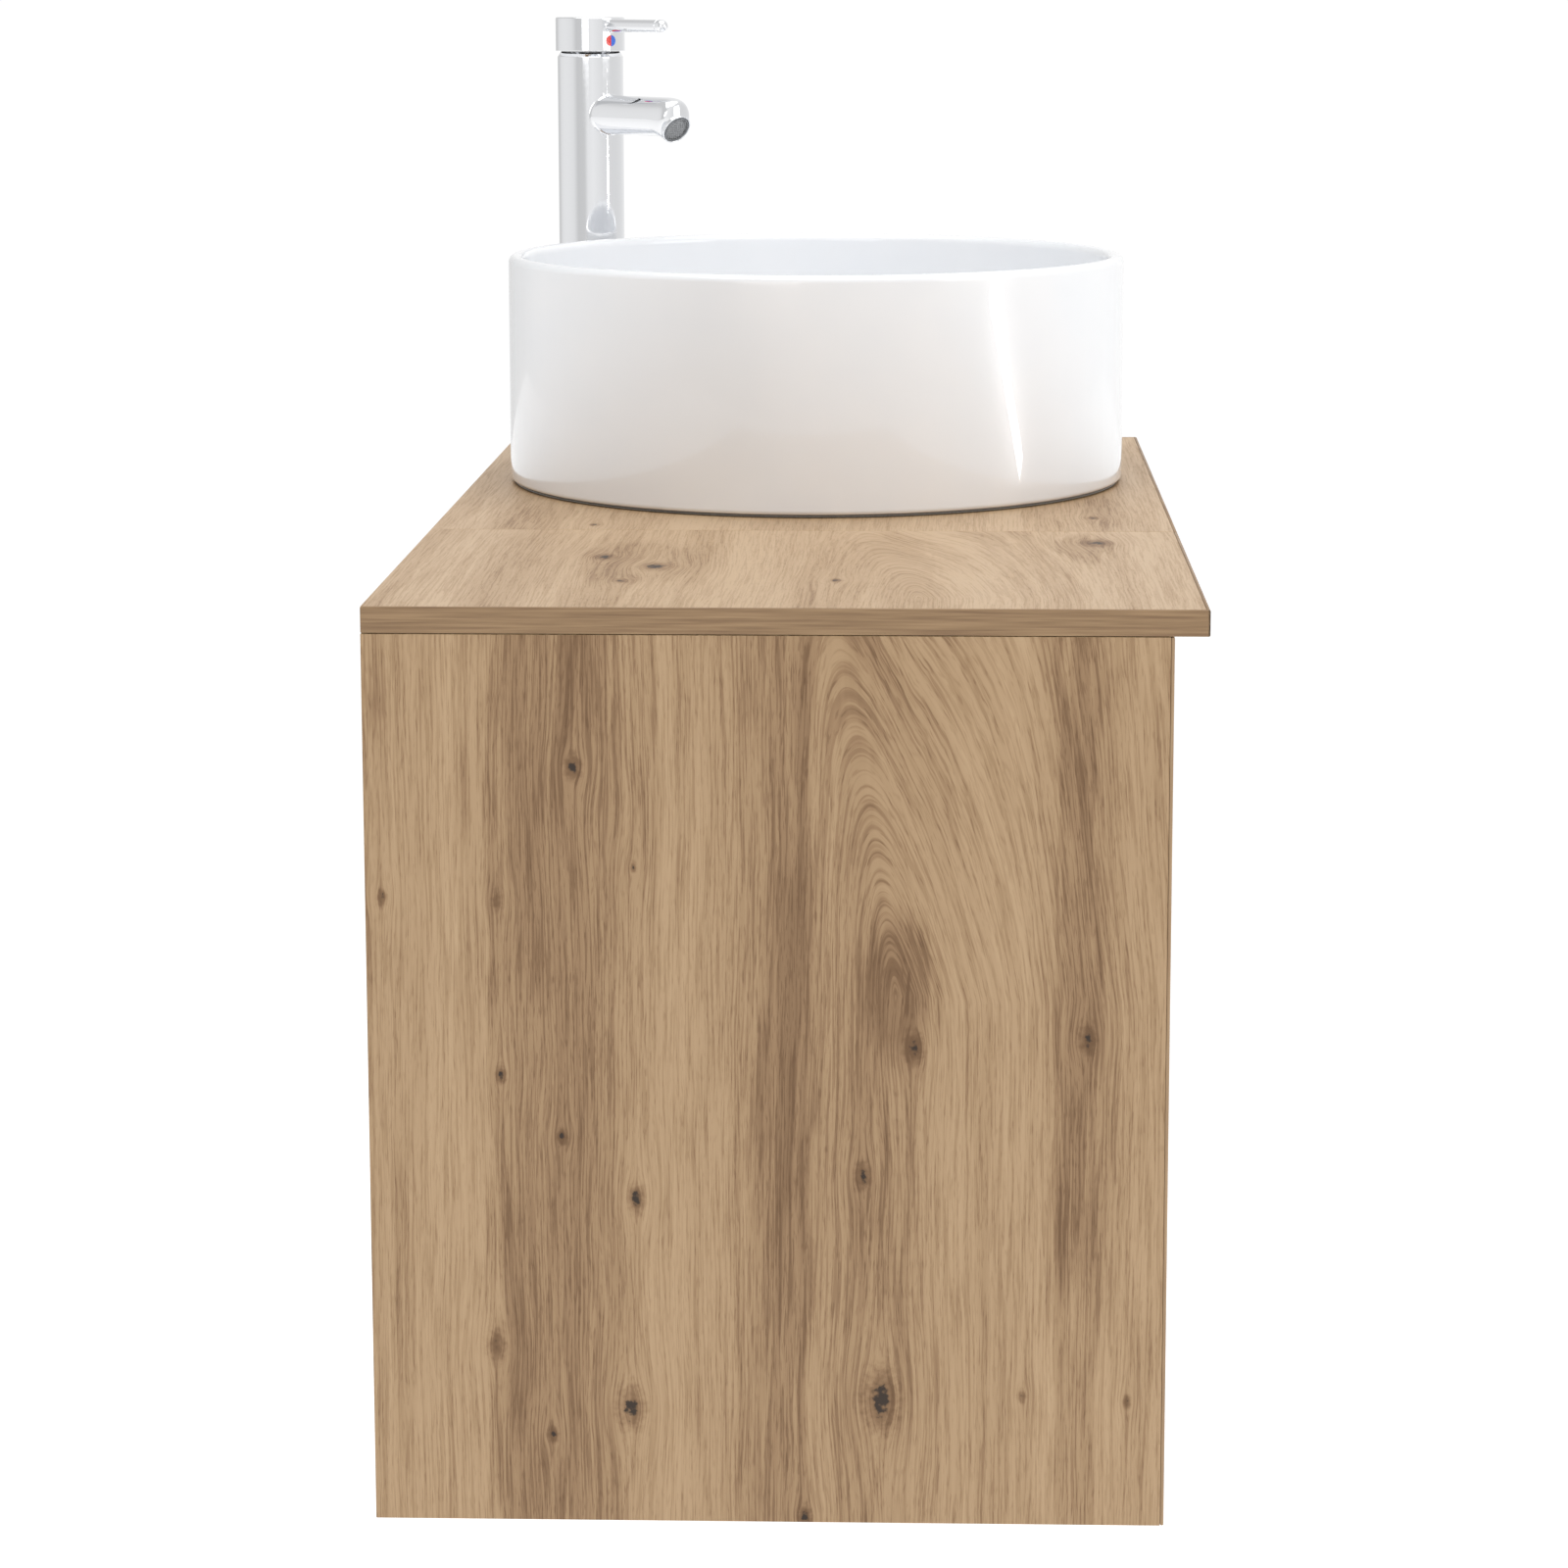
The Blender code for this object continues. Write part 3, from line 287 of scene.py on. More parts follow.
room.links.new(room_glow, background.inputs["Strength"])


def soft_box(name, place, aim, width, height, watts, roll=0.0):
    """A rectangular lamp that points at a place and hides from the camera."""
    data = bpy.data.lights.new(name, "AREA")
    data.shape = "RECTANGLE"
    data.size = width
    data.size_y = height
    data.energy = watts
    lamp = bpy.data.objects.new(name, data)
    bpy.context.scene.collection.objects.link(lamp)
    lamp.location = place
    facing = (Vector(aim) - Vector(place)).to_track_quat("-Z", "Y").to_matrix()
    lamp.rotation_euler = (facing @ Matrix.Rotation(math.radians(roll), 3, "Z")).to_euler()
    lamp.visible_camera = False


LIGHT_AIM = (BASIN_AXIS.x - 0.2, BASIN_AXIS.y, WORKTOP_Z)
soft_box("front_box", (-1.2, -2.6, 1.5), LIGHT_AIM, 1.6, 1.6, 11)
soft_box("ceiling_box", (-0.2, 0.0, 2.9), LIGHT_AIM, 2.4, 2.4, 38)
soft_box("end_box", (-3.2, 0.9, 1.4), LIGHT_AIM, 1.4, 1.4, 8)
soft_box("strip_light", (-0.56, -2.3, 0.40), (-0.56, 0.0, 0.40), 0.085, 0.80, 4, roll=53)
bpy.context.scene.view_settings.view_transform = "Standard"

# %% [markdown]
# ## Chromed brass
# The tap, its lever and the waste are brass castings, polished and plated with chrome, a near mirror
# with a cool grey colour. Faint waves from polishing bend its reflections, and haze varies them.

# %% Chrome plate
CHROME_WAVE_MM = 14.0
CHROME_HAZE_MM = 3.0


def chrome_plate():
    mat, tree, shader = new_material("polished_chrome_plate", Base_Color=linear("#E9EAEC"), Metallic=1.0)
    place = object_place(tree)
    haze = noise(tree, place, 1 / (CHROME_HAZE_MM * MM), 3.0)
    tree.links.new(ranged(tree, haze, 0.0, 1.0, 0.03, 0.09), shader.inputs["Roughness"])
    wave = noise(tree, place, 1 / (CHROME_WAVE_MM * MM), 0.0)
    relief(tree, shader, wave, 0.25, 0.05)
    return mat


CHROME = chrome_plate()
print("made", CHROME.name)

# %% [markdown]
# ## Glazed sanitary ceramic
# The basin is vitreous china under a thick glaze: a white base with a clear coat. A real glaze pools
# over a few centimetres, which shows as a slow ripple in reflections, and holds a few tiny pits.

# %% Glaze
GLAZE_RIPPLE_MM = 38.0
GLAZE_CLOUD_MM = 60.0
GLAZE_PIT_MM = 1.6
GLAZE_COAT = {"Coat_Weight": 1.0, "Coat_Roughness": 0.02, "Coat_IOR": 1.5}


def sanitary_glaze():
    mat, tree, shader = new_material("white_sanitary_glaze", Roughness=0.22, IOR=1.52, **GLAZE_COAT)
    place = object_place(tree)
    cloud = noise(tree, place, 1 / (GLAZE_CLOUD_MM * MM))
    tree.links.new(ramp(tree, cloud, [(0.30, "#F4F6F9"), (0.70, "#F7F8FA")]), shader.inputs["Base Color"])
    ripple = noise(tree, place, 1 / (GLAZE_RIPPLE_MM * MM), 1.0)
    pit = ranged(tree, cells(tree, place, GLAZE_PIT_MM), 0.0, 0.12, -0.15, 0.0)
    relief(tree, shader, maths(tree, "ADD", ripple, pit), 0.12, 0.2, "Coat Normal")
    return mat


GLAZE = sanitary_glaze()
print("made", GLAZE.name)

# %% [markdown]
# ## Printed oak
# The boards are chipboard faced with a print of knotty oak. Everything in oak follows its growth
# rings, so one field is worked out first, in millimetres across and along the board: rings run
# straight, arch over each other near the heart, and part round every knot. Tone, streaks, pores and
# relief are all read from that field, which is why they follow each other.

# %% The oak's growth field
KNOT_STRETCH = 1.7  # knots push the grain aside further along the board than across it
WANDER_MM = (70.0, 420.0)
WANDER_REACH_MM = 3.0
RIPPLE_MM = (9.0, 60.0)
RIPPLE_REACH_MM = 0.7


def board_place(tree, across, along, corner):
    """The place on a board in millimetres from its corner: across, along and into the board."""
    place = object_place(tree)
    ways = [Vector(across), Vector(along), Vector(across).cross(Vector(along))]
    sides = [vectors(tree, "DOT_PRODUCT", place, way / MM) for way in ways]
    start = Vector([Vector(corner).dot(way) / MM for way in ways])
    return vectors(tree, "SUBTRACT", combined(tree, X=sides[0], Y=sides[1], Z=sides[2]), start)


def grain_layer(tree, field, size, seed, detail):
    """Noise drawn out along the grain, in streaks of the given width and length."""
    scale = (1 / size[0], 1 / size[1], 0.01)
    stretched = vectors(tree, "MULTIPLY_ADD", field, scale, (seed, 2 * seed, seed))
    return noise(tree, stretched, 1.0, detail, 0.55)


def sway(tree, place, size, reach, seed):
    """Moves the field from side to side by up to a reach, slowly along the board."""
    push = ranged(tree, grain_layer(tree, place, size, seed, 1.0), 0.2, 0.8, -reach, reach)
    return vectors(tree, "ADD", place, combined(tree, X=push))


def from_centre(tree, place, centre, reach):
    """The place measured from a centre, in multiples of a reach across and along."""
    back = (-centre[0] / reach[0], -centre[1] / reach[1], 0)
    return vectors(tree, "MULTIPLY_ADD", place, (1 / reach[0], 1 / reach[1], 0), back)


def nearer(tree, local, weight):
    """How near a centre is: the weight at it, half of that one reach away, and little beyond."""
    square = vectors(tree, "DOT_PRODUCT", local, local)
    return maths(tree, "DIVIDE", weight, maths(tree, "ADD", square, 1.0))


def part_round_knots(tree, place, knots):
    """Pushes the field aside round each knot. Returns the field and how near a knot is, 0 to 1."""
    field, nearness = place, 0.0
    for across, along, radius, weight in knots:
        reach = (radius, radius * KNOT_STRETCH)
        local = from_centre(tree, place, (across, along), reach)
        near = nearer(tree, local, weight)
        push = add(tree, "ShaderNodeVectorMath", {0: local, "Scale": near}, operation="SCALE").outputs[0]
        field = vectors(tree, "MULTIPLY_ADD", push, (-reach[0], -reach[1], 0), field)
        nearness = maths(tree, "MAXIMUM", nearness, near)
    return field, nearness


def arch_rings(tree, field, heart):
    """Bends the rings into arches nested above the heart.

    The heart is its place across and along, how round the arches are, how far they lean for each
    millimetre of rise, and how wide the stretch is that they bend.
    """
    across, along, roundness, lean, spread = heart
    apart = separated(tree, vectors(tree, "SUBTRACT", field, (across, along, 0)))
    beside = maths(tree, "MULTIPLY", apart["X"], 1 / spread)
    fall = maths(tree, "MULTIPLY_ADD", beside, beside, 1.0)
    rise = maths(tree, "DIVIDE", maths(tree, "MAXIMUM", apart["Y"], 0.0), fall)
    leant = maths(tree, "MULTIPLY_ADD", rise, lean, apart["X"])
    ring = vectors(tree, "LENGTH", combined(tree, X=leant, Y=maths(tree, "MULTIPLY", rise, roundness)))
    outer = maths(tree, "MULTIPLY_ADD", rise, abs(lean), ring)
    return combined(tree, X=outer, Y=apart["Y"], Z=apart["X"])


print("growth field ready; it wanders by", WANDER_REACH_MM, "mm")

# %% [markdown]
# The finish is a stack of layers. Broad tone bands with frayed edges come first, from a listed
# profile on the board everybody sees and from slow noise on the others. Soft smudges, dark lenses,
# streaks, fine lines and short pores lie on them, and knots darken towards a nearly black, ragged
# core. The lines also make the relief, pressed a tenth of a millimetre deep.

# %% Oak finish
OAK_TONES = [
    (0.00, "#6E5135"), (0.20, "#806244"), (0.30, "#8B6D4E"), (0.44, "#9C7D5C"),
    (0.55, "#A78966"), (0.66, "#B0926F"), (0.82, "#B99B78"), (1.00, "#C4A783"),
]
OAK_KNOT_CORE = "#33271D"
FRAY_MM = (5.0, 90.0)
FRAY_REACH_MM = 9.0
DARK_LENS_MM = (15.0, 300.0)
STREAK_MM = (4.2, 260.0)
LINE_MM = (1.15, 48.0)
PORE_MM = (0.7, 9.0)
FIGURE_MM = (38.0, 900.0)
RAGGED_MM = 3.5


def mixed(tree, layer, share, base):
    """Adds a share of a layer, centred on its middle, to a base tone."""
    return maths(tree, "ADD", maths(tree, "MULTIPLY_ADD", layer, share, -share / 2), base)


def between(tree, value, low, high, top=1.0):
    """Zero below one value, the top above another, and smooth between them."""
    return ranged(tree, value, low, high, 0.0, top, "SMOOTHSTEP")


def less(tree, tone, layer):
    return maths(tree, "SUBTRACT", tone, layer)


def oak_board(name, across, along, corner, knots, bands=None, heart=None, smudges=(), seed=1.0, level=0.55):
    """A printed oak finish for one board. Bands are pairs of millimetres across and tone."""
    mat, tree, shader = new_material(name, IOR=1.5, Specular_IOR_Level=0.4)
    place = board_place(tree, across, along, corner)
    swayed = sway(tree, place, WANDER_MM, WANDER_REACH_MM, seed)
    swayed = sway(tree, swayed, RIPPLE_MM, RIPPLE_REACH_MM, seed + 1)
    field, nearness = part_round_knots(tree, swayed, knots)
    rings = arch_rings(tree, field, heart) if heart else field
    frayed = sway(tree, field, FRAY_MM, FRAY_REACH_MM, seed + 2)
    if bands:
        width = bands[-1][0]
        share = maths(tree, "MULTIPLY", separated(tree, frayed)["X"], 1 / width)
        profile = ramp(tree, share, [(mm / width, shade) for mm, shade in bands], "EASE")
        tone = mixed(tree, grain_layer(tree, rings, FIGURE_MM, seed + 3, 2.0), 0.25, profile)
    else:
        tone = mixed(tree, grain_layer(tree, rings, FIGURE_MM, seed + 3, 3.0), 0.95, level)
    for across_mm, along_mm, half_across, half_along, depth in smudges:
        local = from_centre(tree, frayed, (across_mm, along_mm), (half_across, half_along))
        tone = less(tree, tone, between(tree, nearer(tree, local, 1.0), 0.35, 0.65, depth))
    lens = grain_layer(tree, rings, DARK_LENS_MM, seed + 4, 2.0)
    tone = less(tree, tone, between(tree, lens, 0.56, 0.64, 0.13))
    tone = mixed(tree, grain_layer(tree, rings, STREAK_MM, seed + 5, 2.0), 0.42, tone)
    lines = between(tree, grain_layer(tree, rings, LINE_MM, seed + 7, 3.0), 0.38, 0.56)
    tone = mixed(tree, lines, 0.24, tone)
    pores = between(tree, grain_layer(tree, rings, PORE_MM, seed + 11, 1.0), 0.32, 0.46)
    tone = mixed(tree, pores, 0.15, tone)
    ragged = mixed(tree, noise(tree, place, 1 / RAGGED_MM), 0.5, nearness)
    tone = less(tree, tone, between(tree, ragged, 0.38, 0.92, 0.40))
    ink = between(tree, ragged, 0.84, 0.96)
    print_and_ink = {"Factor": ink, 6: ramp(tree, tone, OAK_TONES), 7: linear(OAK_KNOT_CORE)}
    inked = add(tree, "ShaderNodeMix", print_and_ink, data_type="RGBA").outputs[2]
    tree.links.new(inked, shader.inputs["Base Color"])
    tree.links.new(ranged(tree, tone, 0.0, 1.0, 0.58, 0.42), shader.inputs["Roughness"])
    relief(tree, shader, lines, 0.3, 0.1)
    return mat


print("oak finish ready;", len(OAK_TONES), "tones from dark heartwood to pale sapwood")

# %% [markdown]
# The end panel gives this unit its character, so its bands and knots are listed one by one. A knot is
# given as millimetres from the wall, millimetres up, its radius, and how black its middle is. A
# smudge is a soft ellipse with its two half sizes and how far it darkens the print.

# %% Oak on the end panel
UP = (0, 0, 1)
ALONG_UNIT = (1, 0, 0)
DEEP = (0, -1, 0)
PANEL_BANDS = [
    (0, 0.46), (10, 0.56), (30, 0.60), (52, 0.64), (64, 0.56), (76, 0.34), (92, 0.25),
    (108, 0.31), (120, 0.28), (134, 0.36), (150, 0.56), (170, 0.63), (190, 0.57),
    (208, 0.46), (222, 0.32), (236, 0.31), (250, 0.50), (266, 0.40), (290, 0.48),
    (312, 0.52), (332, 0.60), (354, 0.62), (372, 0.52), (384, 0.26), (394, 0.22),
    (404, 0.44), (418, 0.58), (432, 0.60), (441, 0.56),
]
PANEL_KNOTS = [
    (114, 430, 5, 1.0), (133, 405, 17, 0.40), (148, 375, 2.5, 0.95), (8, 357, 3.5, 0.95),
    (73, 355, 5, 0.74), (74, 257, 4, 0.97), (107, 222, 3.5, 1.0), (149, 187, 6, 1.0),
    (69, 102, 8, 0.84), (144, 66, 10, 0.96), (100, 50, 3.5, 0.97), (302, 274, 7, 0.93),
    (272, 201, 6, 0.97), (284, 72, 13, 1.0), (396, 279, 6, 0.97), (362, 75, 3, 0.92),
    (420, 72, 3, 0.92), (241, 3, 5, 0.98),
]
PANEL_SMUDGES = [
    (291, 304, 21, 38, 0.30), (296, 297, 1.0, 13, 0.30), (272, 200, 9, 90, 0.12),
    (390, 40, 26, 110, -0.20), (88, 250, 16, 60, -0.08), (240, 250, 18, 150, 0.08),
]
PANEL_HEART = (291, 296, 0.16, 0.13, 75)
PANEL_CORNER = (PANEL_LOW.x, WALL_Y, PANEL_LOW.z)

OAK = {}
PANEL_LOOK = (PANEL_KNOTS, PANEL_BANDS, PANEL_HEART, PANEL_SMUDGES, 2.0)
OAK["end_panel"] = oak_board("oak_print_end_panel", DEEP, UP, PANEL_CORNER, *PANEL_LOOK)
print("end panel:", len(PANEL_KNOTS), "knots,", len(OAK["end_panel"].node_tree.nodes), "nodes")

# %% [markdown]
# The other boards are cut from other sheets of the same print, each with its own knots and seed.
# Worktops, floors, shelf and rails run their grain along the unit, and the rest run it upright.
# The worktops' paler tone is painted light: it stands for the light that falls on their tops.

# %% Oak on the other boards
BACK_CORNER = (PANEL_LOW.x, WALL_Y, 0)
MID_TONE = 0.55
# painted light: the worktops are printed paler to stand for the light falling on their tops
PAINTED_TOP_LIGHT_TONE = 0.74

# a sheet's name, ways across and along, corner, knots, heart, smudges, seed and tone
OAK_SHEETS = [
    ("cupboard_top", DEEP, ALONG_UNIT, (TOP_LOW.x, WALL_Y, WORKTOP_Z),
     [(118, 186, 9, 0.98), (150, 150, 12, 1), (135, 95, 6, 0.95), (255, 100, 5, 0.95), (408, 250, 11, 0.97)],
     (300, 40, 0.15, 0.08, 60),
     [(400, 225, 10, 60, 0.30), (140, 170, 30, 70, 0.20), (290, 150, 20, 160, 0.10), (60, 60, 14, 90, 0.12)],
     4.0, PAINTED_TOP_LIGHT_TONE),
    ("sink_top", DEEP, ALONG_UNIT, (SINK_LOW.x, WALL_Y, WORKTOP_Z),
     [(100, 22, 5, 0.95), (410, 60, 6, 0.95), (60, 470, 9, 0.96), (330, 460, 10, 0.96)],
     (120, 300, 0.15, 0.08, 60), [(60, 40, 18, 70, 0.18), (420, 80, 12, 90, 0.16)], 9.0, PAINTED_TOP_LIGHT_TONE),
    ("door", ALONG_UNIT, UP, corners("cupboard_door")[0],
     [(70, 380, 8, 0.96), (190, 120, 10, 0.98), (150, 300, 4, 0.95), (230, 420, 3, 0.95)],
     (120, 210, 0.16, 0.1, 60), (), 13.0, MID_TONE),
    ("upper_front", ALONG_UNIT, UP, corners("upper_drawer_front")[0],
     [(90, 60, 9, 0.97), (250, 170, 5, 0.95), (380, 90, 8, 0.97)],
     (330, 60, 0.16, -0.1, 60), (), 17.0, MID_TONE),
    ("lower_front", ALONG_UNIT, UP, corners("lower_drawer_front")[0],
     [(150, 150, 9, 0.97), (300, 60, 6, 0.95), (420, 180, 4, 0.95)],
     (180, 40, 0.16, 0.1, 60), (), 21.0, MID_TONE),
    ("right_panel", DEEP, UP, (PANEL_HIGH.x, WALL_Y, PANEL_LOW.z),
     [(120, 330, 9, 0.96), (300, 120, 12, 0.98), (350, 420, 5, 0.95), (60, 90, 4, 0.95), (215, 235, 3, 0.95)],
     (230, 200, 0.16, -0.12, 70), (), 25.0, MID_TONE),
    ("partition", DEEP, UP, (0, WALL_Y, 0),
     [(120, 200, 8, 0.95), (330, 380, 7, 0.95), (250, 90, 3, 0.95)], None, (), 29.0, MID_TONE),
    ("floor_and_shelf", DEEP, ALONG_UNIT, BACK_CORNER,
     [(140, 110, 7, 0.95), (300, 520, 9, 0.97), (90, 640, 4, 0.95)], None, (), 33.0, MID_TONE),
    ("rail", UP, ALONG_UNIT, BACK_CORNER,
     [(450, 150, 6, 0.96), (430, 560, 8, 0.97)], None, (), 37.0, MID_TONE),
]
for sheet, across, along, corner, knots, *look in OAK_SHEETS:
    OAK[sheet] = oak_board(f"oak_print_{sheet}", across, along, corner, knots, None, *look)
print("oak finishes:", len(OAK))

# %% [markdown]
# ## Edge bands, raw board and melamine
# A laminated board is only finished where it is seen. Its front edge carries a band of ABS with a
# straight grain, a shade off the face's print, and edges that face the wall show pressed chips. The
# drawer boxes are melamine board, and the backs are hardboard: lacquered inside, fibre outside.

# %% Board materials
BAND_STREAK_MM = (1.6, 60.0)
CHIP_MM = 2.6
CHIP_DUST_MM = 0.8


def clouds(x_mm, y_mm, z_mm, detail=2.0):
    """A layer of noise with its own size in millimetres along each axis of the object."""

    def layer(tree):
        sizes = Vector((1 / (x_mm * MM), 1 / (y_mm * MM), 1 / (z_mm * MM)))
        return noise(tree, vectors(tree, "MULTIPLY", object_place(tree), sizes), 1.0, detail)

    return layer


def chips(tree):
    """A layer of pressed wood chips with finer dust between them."""
    cell = cells(tree, object_place(tree), CHIP_MM, "Color")
    shade = add(tree, "ShaderNodeSeparateColor", {"Color": cell}).outputs[0]
    dust = clouds(CHIP_DUST_MM, CHIP_DUST_MM, CHIP_DUST_MM, 3.0)(tree)
    return maths(tree, "MULTIPLY_ADD", shade, 0.5, dust)


def toned_material(name, layer, stops, rough=(0.4, 0.6), strength=0.1, depth_mm=0.05, **values):
    """A material whose tone, roughness and relief all follow one layer made by layer(tree)."""
    mat, tree, shader = new_material(name, **values)
    fac = layer(tree)
    tree.links.new(ramp(tree, fac, stops), shader.inputs["Base Color"])
    tree.links.new(ranged(tree, fac, 0.0, 1.0, *rough), shader.inputs["Roughness"])
    relief(tree, shader, fac, strength, depth_mm)
    return mat


def band_grain(name, along, stops):
    """ABS edge band with its grain along one axis of the object."""
    sizes = [BAND_STREAK_MM[1] if axis == along else BAND_STREAK_MM[0] for axis in "XYZ"]
    return toned_material(name, clouds(*sizes, 4.0), stops, (0.5, 0.4), 0.2)


BAND_TONES = [(0.30, "#7F6245"), (0.48, "#917453"), (0.70, "#A28461")]
BAND_PALE = [(0.30, "#97795A"), (0.50, "#A68968"), (0.70, "#B39775")]
BAND_UP = band_grain("oak_edge_band_upright", "Z", BAND_PALE)
BAND_SIDE = band_grain("oak_edge_band_worktop_end", "Y", BAND_TONES)
BAND_LONG = band_grain("oak_edge_band_long", "X", BAND_TONES)

CHIP_TONES = [(0.35, "#7C6142"), (0.6, "#A98B62"), (1.0, "#CDB489")]
FIBRE_TONES = [(0.30, "#6E5039"), (0.55, "#86664A"), (0.75, "#977758")]
LACQUER_TONES = [(0.30, "#DEDCD7"), (0.70, "#E6E4DF")]
MELAMINE_TONES = [(0.30, "#C6C4BF"), (0.50, "#D2D0CB"), (0.72, "#DAD8D4")]
RAW_BOARD = toned_material("raw_chipboard_edge", chips, CHIP_TONES, (0.9, 0.8), 0.6, 0.3)
HARDBOARD = toned_material("raw_hardboard", clouds(1.2, 1.2, 2.4, 5.0), FIBRE_TONES, (0.85, 0.7), 0.3)
WHITE_LACQUER = toned_material("white_lacquered_hardboard", clouds(6, 6, 6, 3.0), LACQUER_TONES, (0.45, 0.55))
MELAMINE = toned_material("light_grey_melamine", clouds(1.1, 8.8, 1.1, 3.0), MELAMINE_TONES, (0.5, 0.4), 0.15)
print("board materials ready:", RAW_BOARD.name, HARDBOARD.name, WHITE_LACQUER.name, MELAMINE.name)

# %% [markdown]
# ## Metal, plastic and rubber in the works
# Runners and hinges are rolled from zinc-plated steel, which shows faint rolling lines. The trap is
# moulded polypropylene, slightly waxy. The grey parts have an even fine grain from their tool.

# %% Materials of the works
MESH_PITCH_MM = 1.3
ZINC_TONES = [(0.30, "#AEB0B1"), (0.52, "#BEC0C1"), (0.72, "#CCCDCB")]
WAXY_WHITE = [(0.30, "#E3E3DF"), (0.70, "#EBEBE8")]
MID_GREY = [(0.30, "#6F7173"), (0.70, "#7D7F81")]
BEAD_GREY = [(0.30, "#7B7976"), (0.70, "#8D8B87")]
RUBBER_BLACK = [(0.30, "#121212"), (0.70, "#1D1D1D")]


def works_material(name, cloud_mm, stops, rough, strength, ior):
    """A moulded plastic or rubber with an even grain."""
    return toned_material(name, clouds(cloud_mm, cloud_mm, cloud_mm), stops, rough, strength, IOR=ior)


ROLLED = clouds(0.7, 22.0, 0.7, 4.0)
ZINC = toned_material("zinc_plated_steel", ROLLED, ZINC_TONES, (0.26, 0.42), 0.1, 0.02, Metallic=1.0)
POLYPROPYLENE = works_material("moulded_white_polypropylene", 2.2, WAXY_WHITE, (0.32, 0.44), 0.15, 1.49)
GREY_ABS = works_material("moulded_grey_abs", 0.5, MID_GREY, (0.42, 0.58), 0.4, 1.52)
SILICONE = works_material("sanitary_silicone", 1.4, BEAD_GREY, (0.38, 0.52), 0.2, 1.41)
RUBBER = works_material("black_nitrile_rubber", 0.6, RUBBER_BLACK, (0.55, 0.7), 0.2, 1.52)


def aerator_mesh():
    """The jet regulator's insert: a close grid of round holes, about a millimetre apart, with painted shade
    in them.
    """
    mat, tree, shader = new_material("aerator_mesh", Roughness=0.45, IOR=1.52)
    hole_depth_and_shade = ranged(tree, cells(tree, object_place(tree), MESH_PITCH_MM, randomness=0.15), 0.30, 0.42, 0.0, 1.0)
    # painted shade: the holes are coloured dark grey and the grid between them pale
    tree.links.new(ramp(tree, hole_depth_and_shade, [(0.0, "#4A4B4C"), (1.0, "#9A9B9C")]), shader.inputs["Base Color"])
    relief(tree, shader, hole_depth_and_shade, 0.8, 0.3)
    return mat


MESH_GREY = aerator_mesh()
print("materials so far:", len(bpy.data.materials))

# %% [markdown]
# ## Making a piece
# A finished piece is one mesh with its place in its points. It rides on the same moving body as the
# solid it stands for, and takes the materials it is given. One function does those steps.
# Another copies a solid and clears its flat faces. A third rounds edges, as a router or press does.

# %% Piece helpers
MADE = []
FEW_CORNERS = 40  # a board with more corners than this has blind holes in it
WELD = 0.01 * MM


def finish_piece(name, mesh, materials, node, smooth=40.0, stands_for=True):
    """Turns a bmesh into a finished piece that rides on its node's body."""
    data = bpy.data.meshes.new(name)
    mesh.to_mesh(data)
    mesh.free()
    for mat in materials:
        data.materials.append(mat)
    data.shade_smooth()
    data.set_sharp_from_angle(angle=math.radians(smooth))
    piece = bpy.data.objects.new(name, data)
    bpy.context.scene.collection.objects.link(piece)
    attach(piece, frame["nodes"][node]["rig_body"])
    if stands_for:
        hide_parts(node)
    MADE.append(name)
    return piece


def copy_of(node):
    """The node's solid as a welded bmesh. Its flat faces are made whole unless holes break them."""
    mesh = bmesh.new()
    mesh.from_mesh(frame["nodes"][node].data)
    bmesh.ops.remove_doubles(mesh, verts=mesh.verts, dist=WELD)
    through_holes = 1 - (len(mesh.verts) - len(mesh.edges) + len(mesh.faces)) / 2
    if not through_holes and len(mesh.verts) <= FEW_CORNERS:
        bmesh.ops.dissolve_limit(mesh, angle_limit=math.radians(1.0), verts=mesh.verts, edges=mesh.edges)
    return mesh


def ease_edges(mesh, width, longer_than=0.0, sharper_than=50.0):
    """Rounds the mesh's sharp edges that are longer than a given length."""
    long_ones = [e for e in mesh.edges if e.is_manifold and e.calc_length() > longer_than]
    edges = [e for e in long_ones if e.calc_face_angle() > math.radians(sharper_than)]
    shape = {"segments": 2, "profile": 0.5, "affect": "EDGES", "material": -1, "clamp_overlap": True}
    bmesh.ops.bevel(mesh, geom=edges, offset=width, **shape)


def block(low, high):
    """A box between two corners."""
    mesh = bmesh.new()
    bmesh.ops.create_cube(mesh, size=1.0)
    bmesh.ops.scale(mesh, vec=Vector(high) - Vector(low), verts=mesh.verts)
    bmesh.ops.translate(mesh, vec=(Vector(low) + Vector(high)) / 2, verts=mesh.verts)
    return mesh


print("piece helpers ready")

# %% [markdown]
# ## The boards
# Each board is a copy of its solid, so its holes stay where the fittings need them. Where it gets
# an edge band, the board is first drawn back by the band's thickness, as the maker cuts it, and the
# band is a separate strip with a fine joint behind it.

# %% Boards and their edge bands
BAND = 2.0 * MM
JOINT = 0.08 * MM
BOARD_EASE = 0.35 * MM
BAND_EASE = 0.8 * MM
FLAT_SHADING = 20.0  # degrees; keeps the shading of a wide face from leaning over its eased edge
FRONT_EDGE_BAND = 1 * MM
LONG_EDGE = 12 * MM  # shorter edges belong to holes and stay sharp
SIDES = {"left": (0, 0), "right": (0, 1), "front": (1, 0), "back": (1, 1), "bottom": (2, 0), "top": (2, 1)}


def make_band(node, side, thickness, mat):
    """A strip of edge band on one side of a board."""
    axis, far = SIDES[side]
    low, high = corners(node)
    if far:
        low[axis] = high[axis] - thickness
    else:
        high[axis] = low[axis] + thickness
    strip = block(low, high)
    ease_edges(strip, min(BAND_EASE, thickness / 2.5))
    name = f"{node}_{side}_band"
    finish_piece(name, strip, [mat], node, smooth=FLAT_SHADING, stands_for=False)


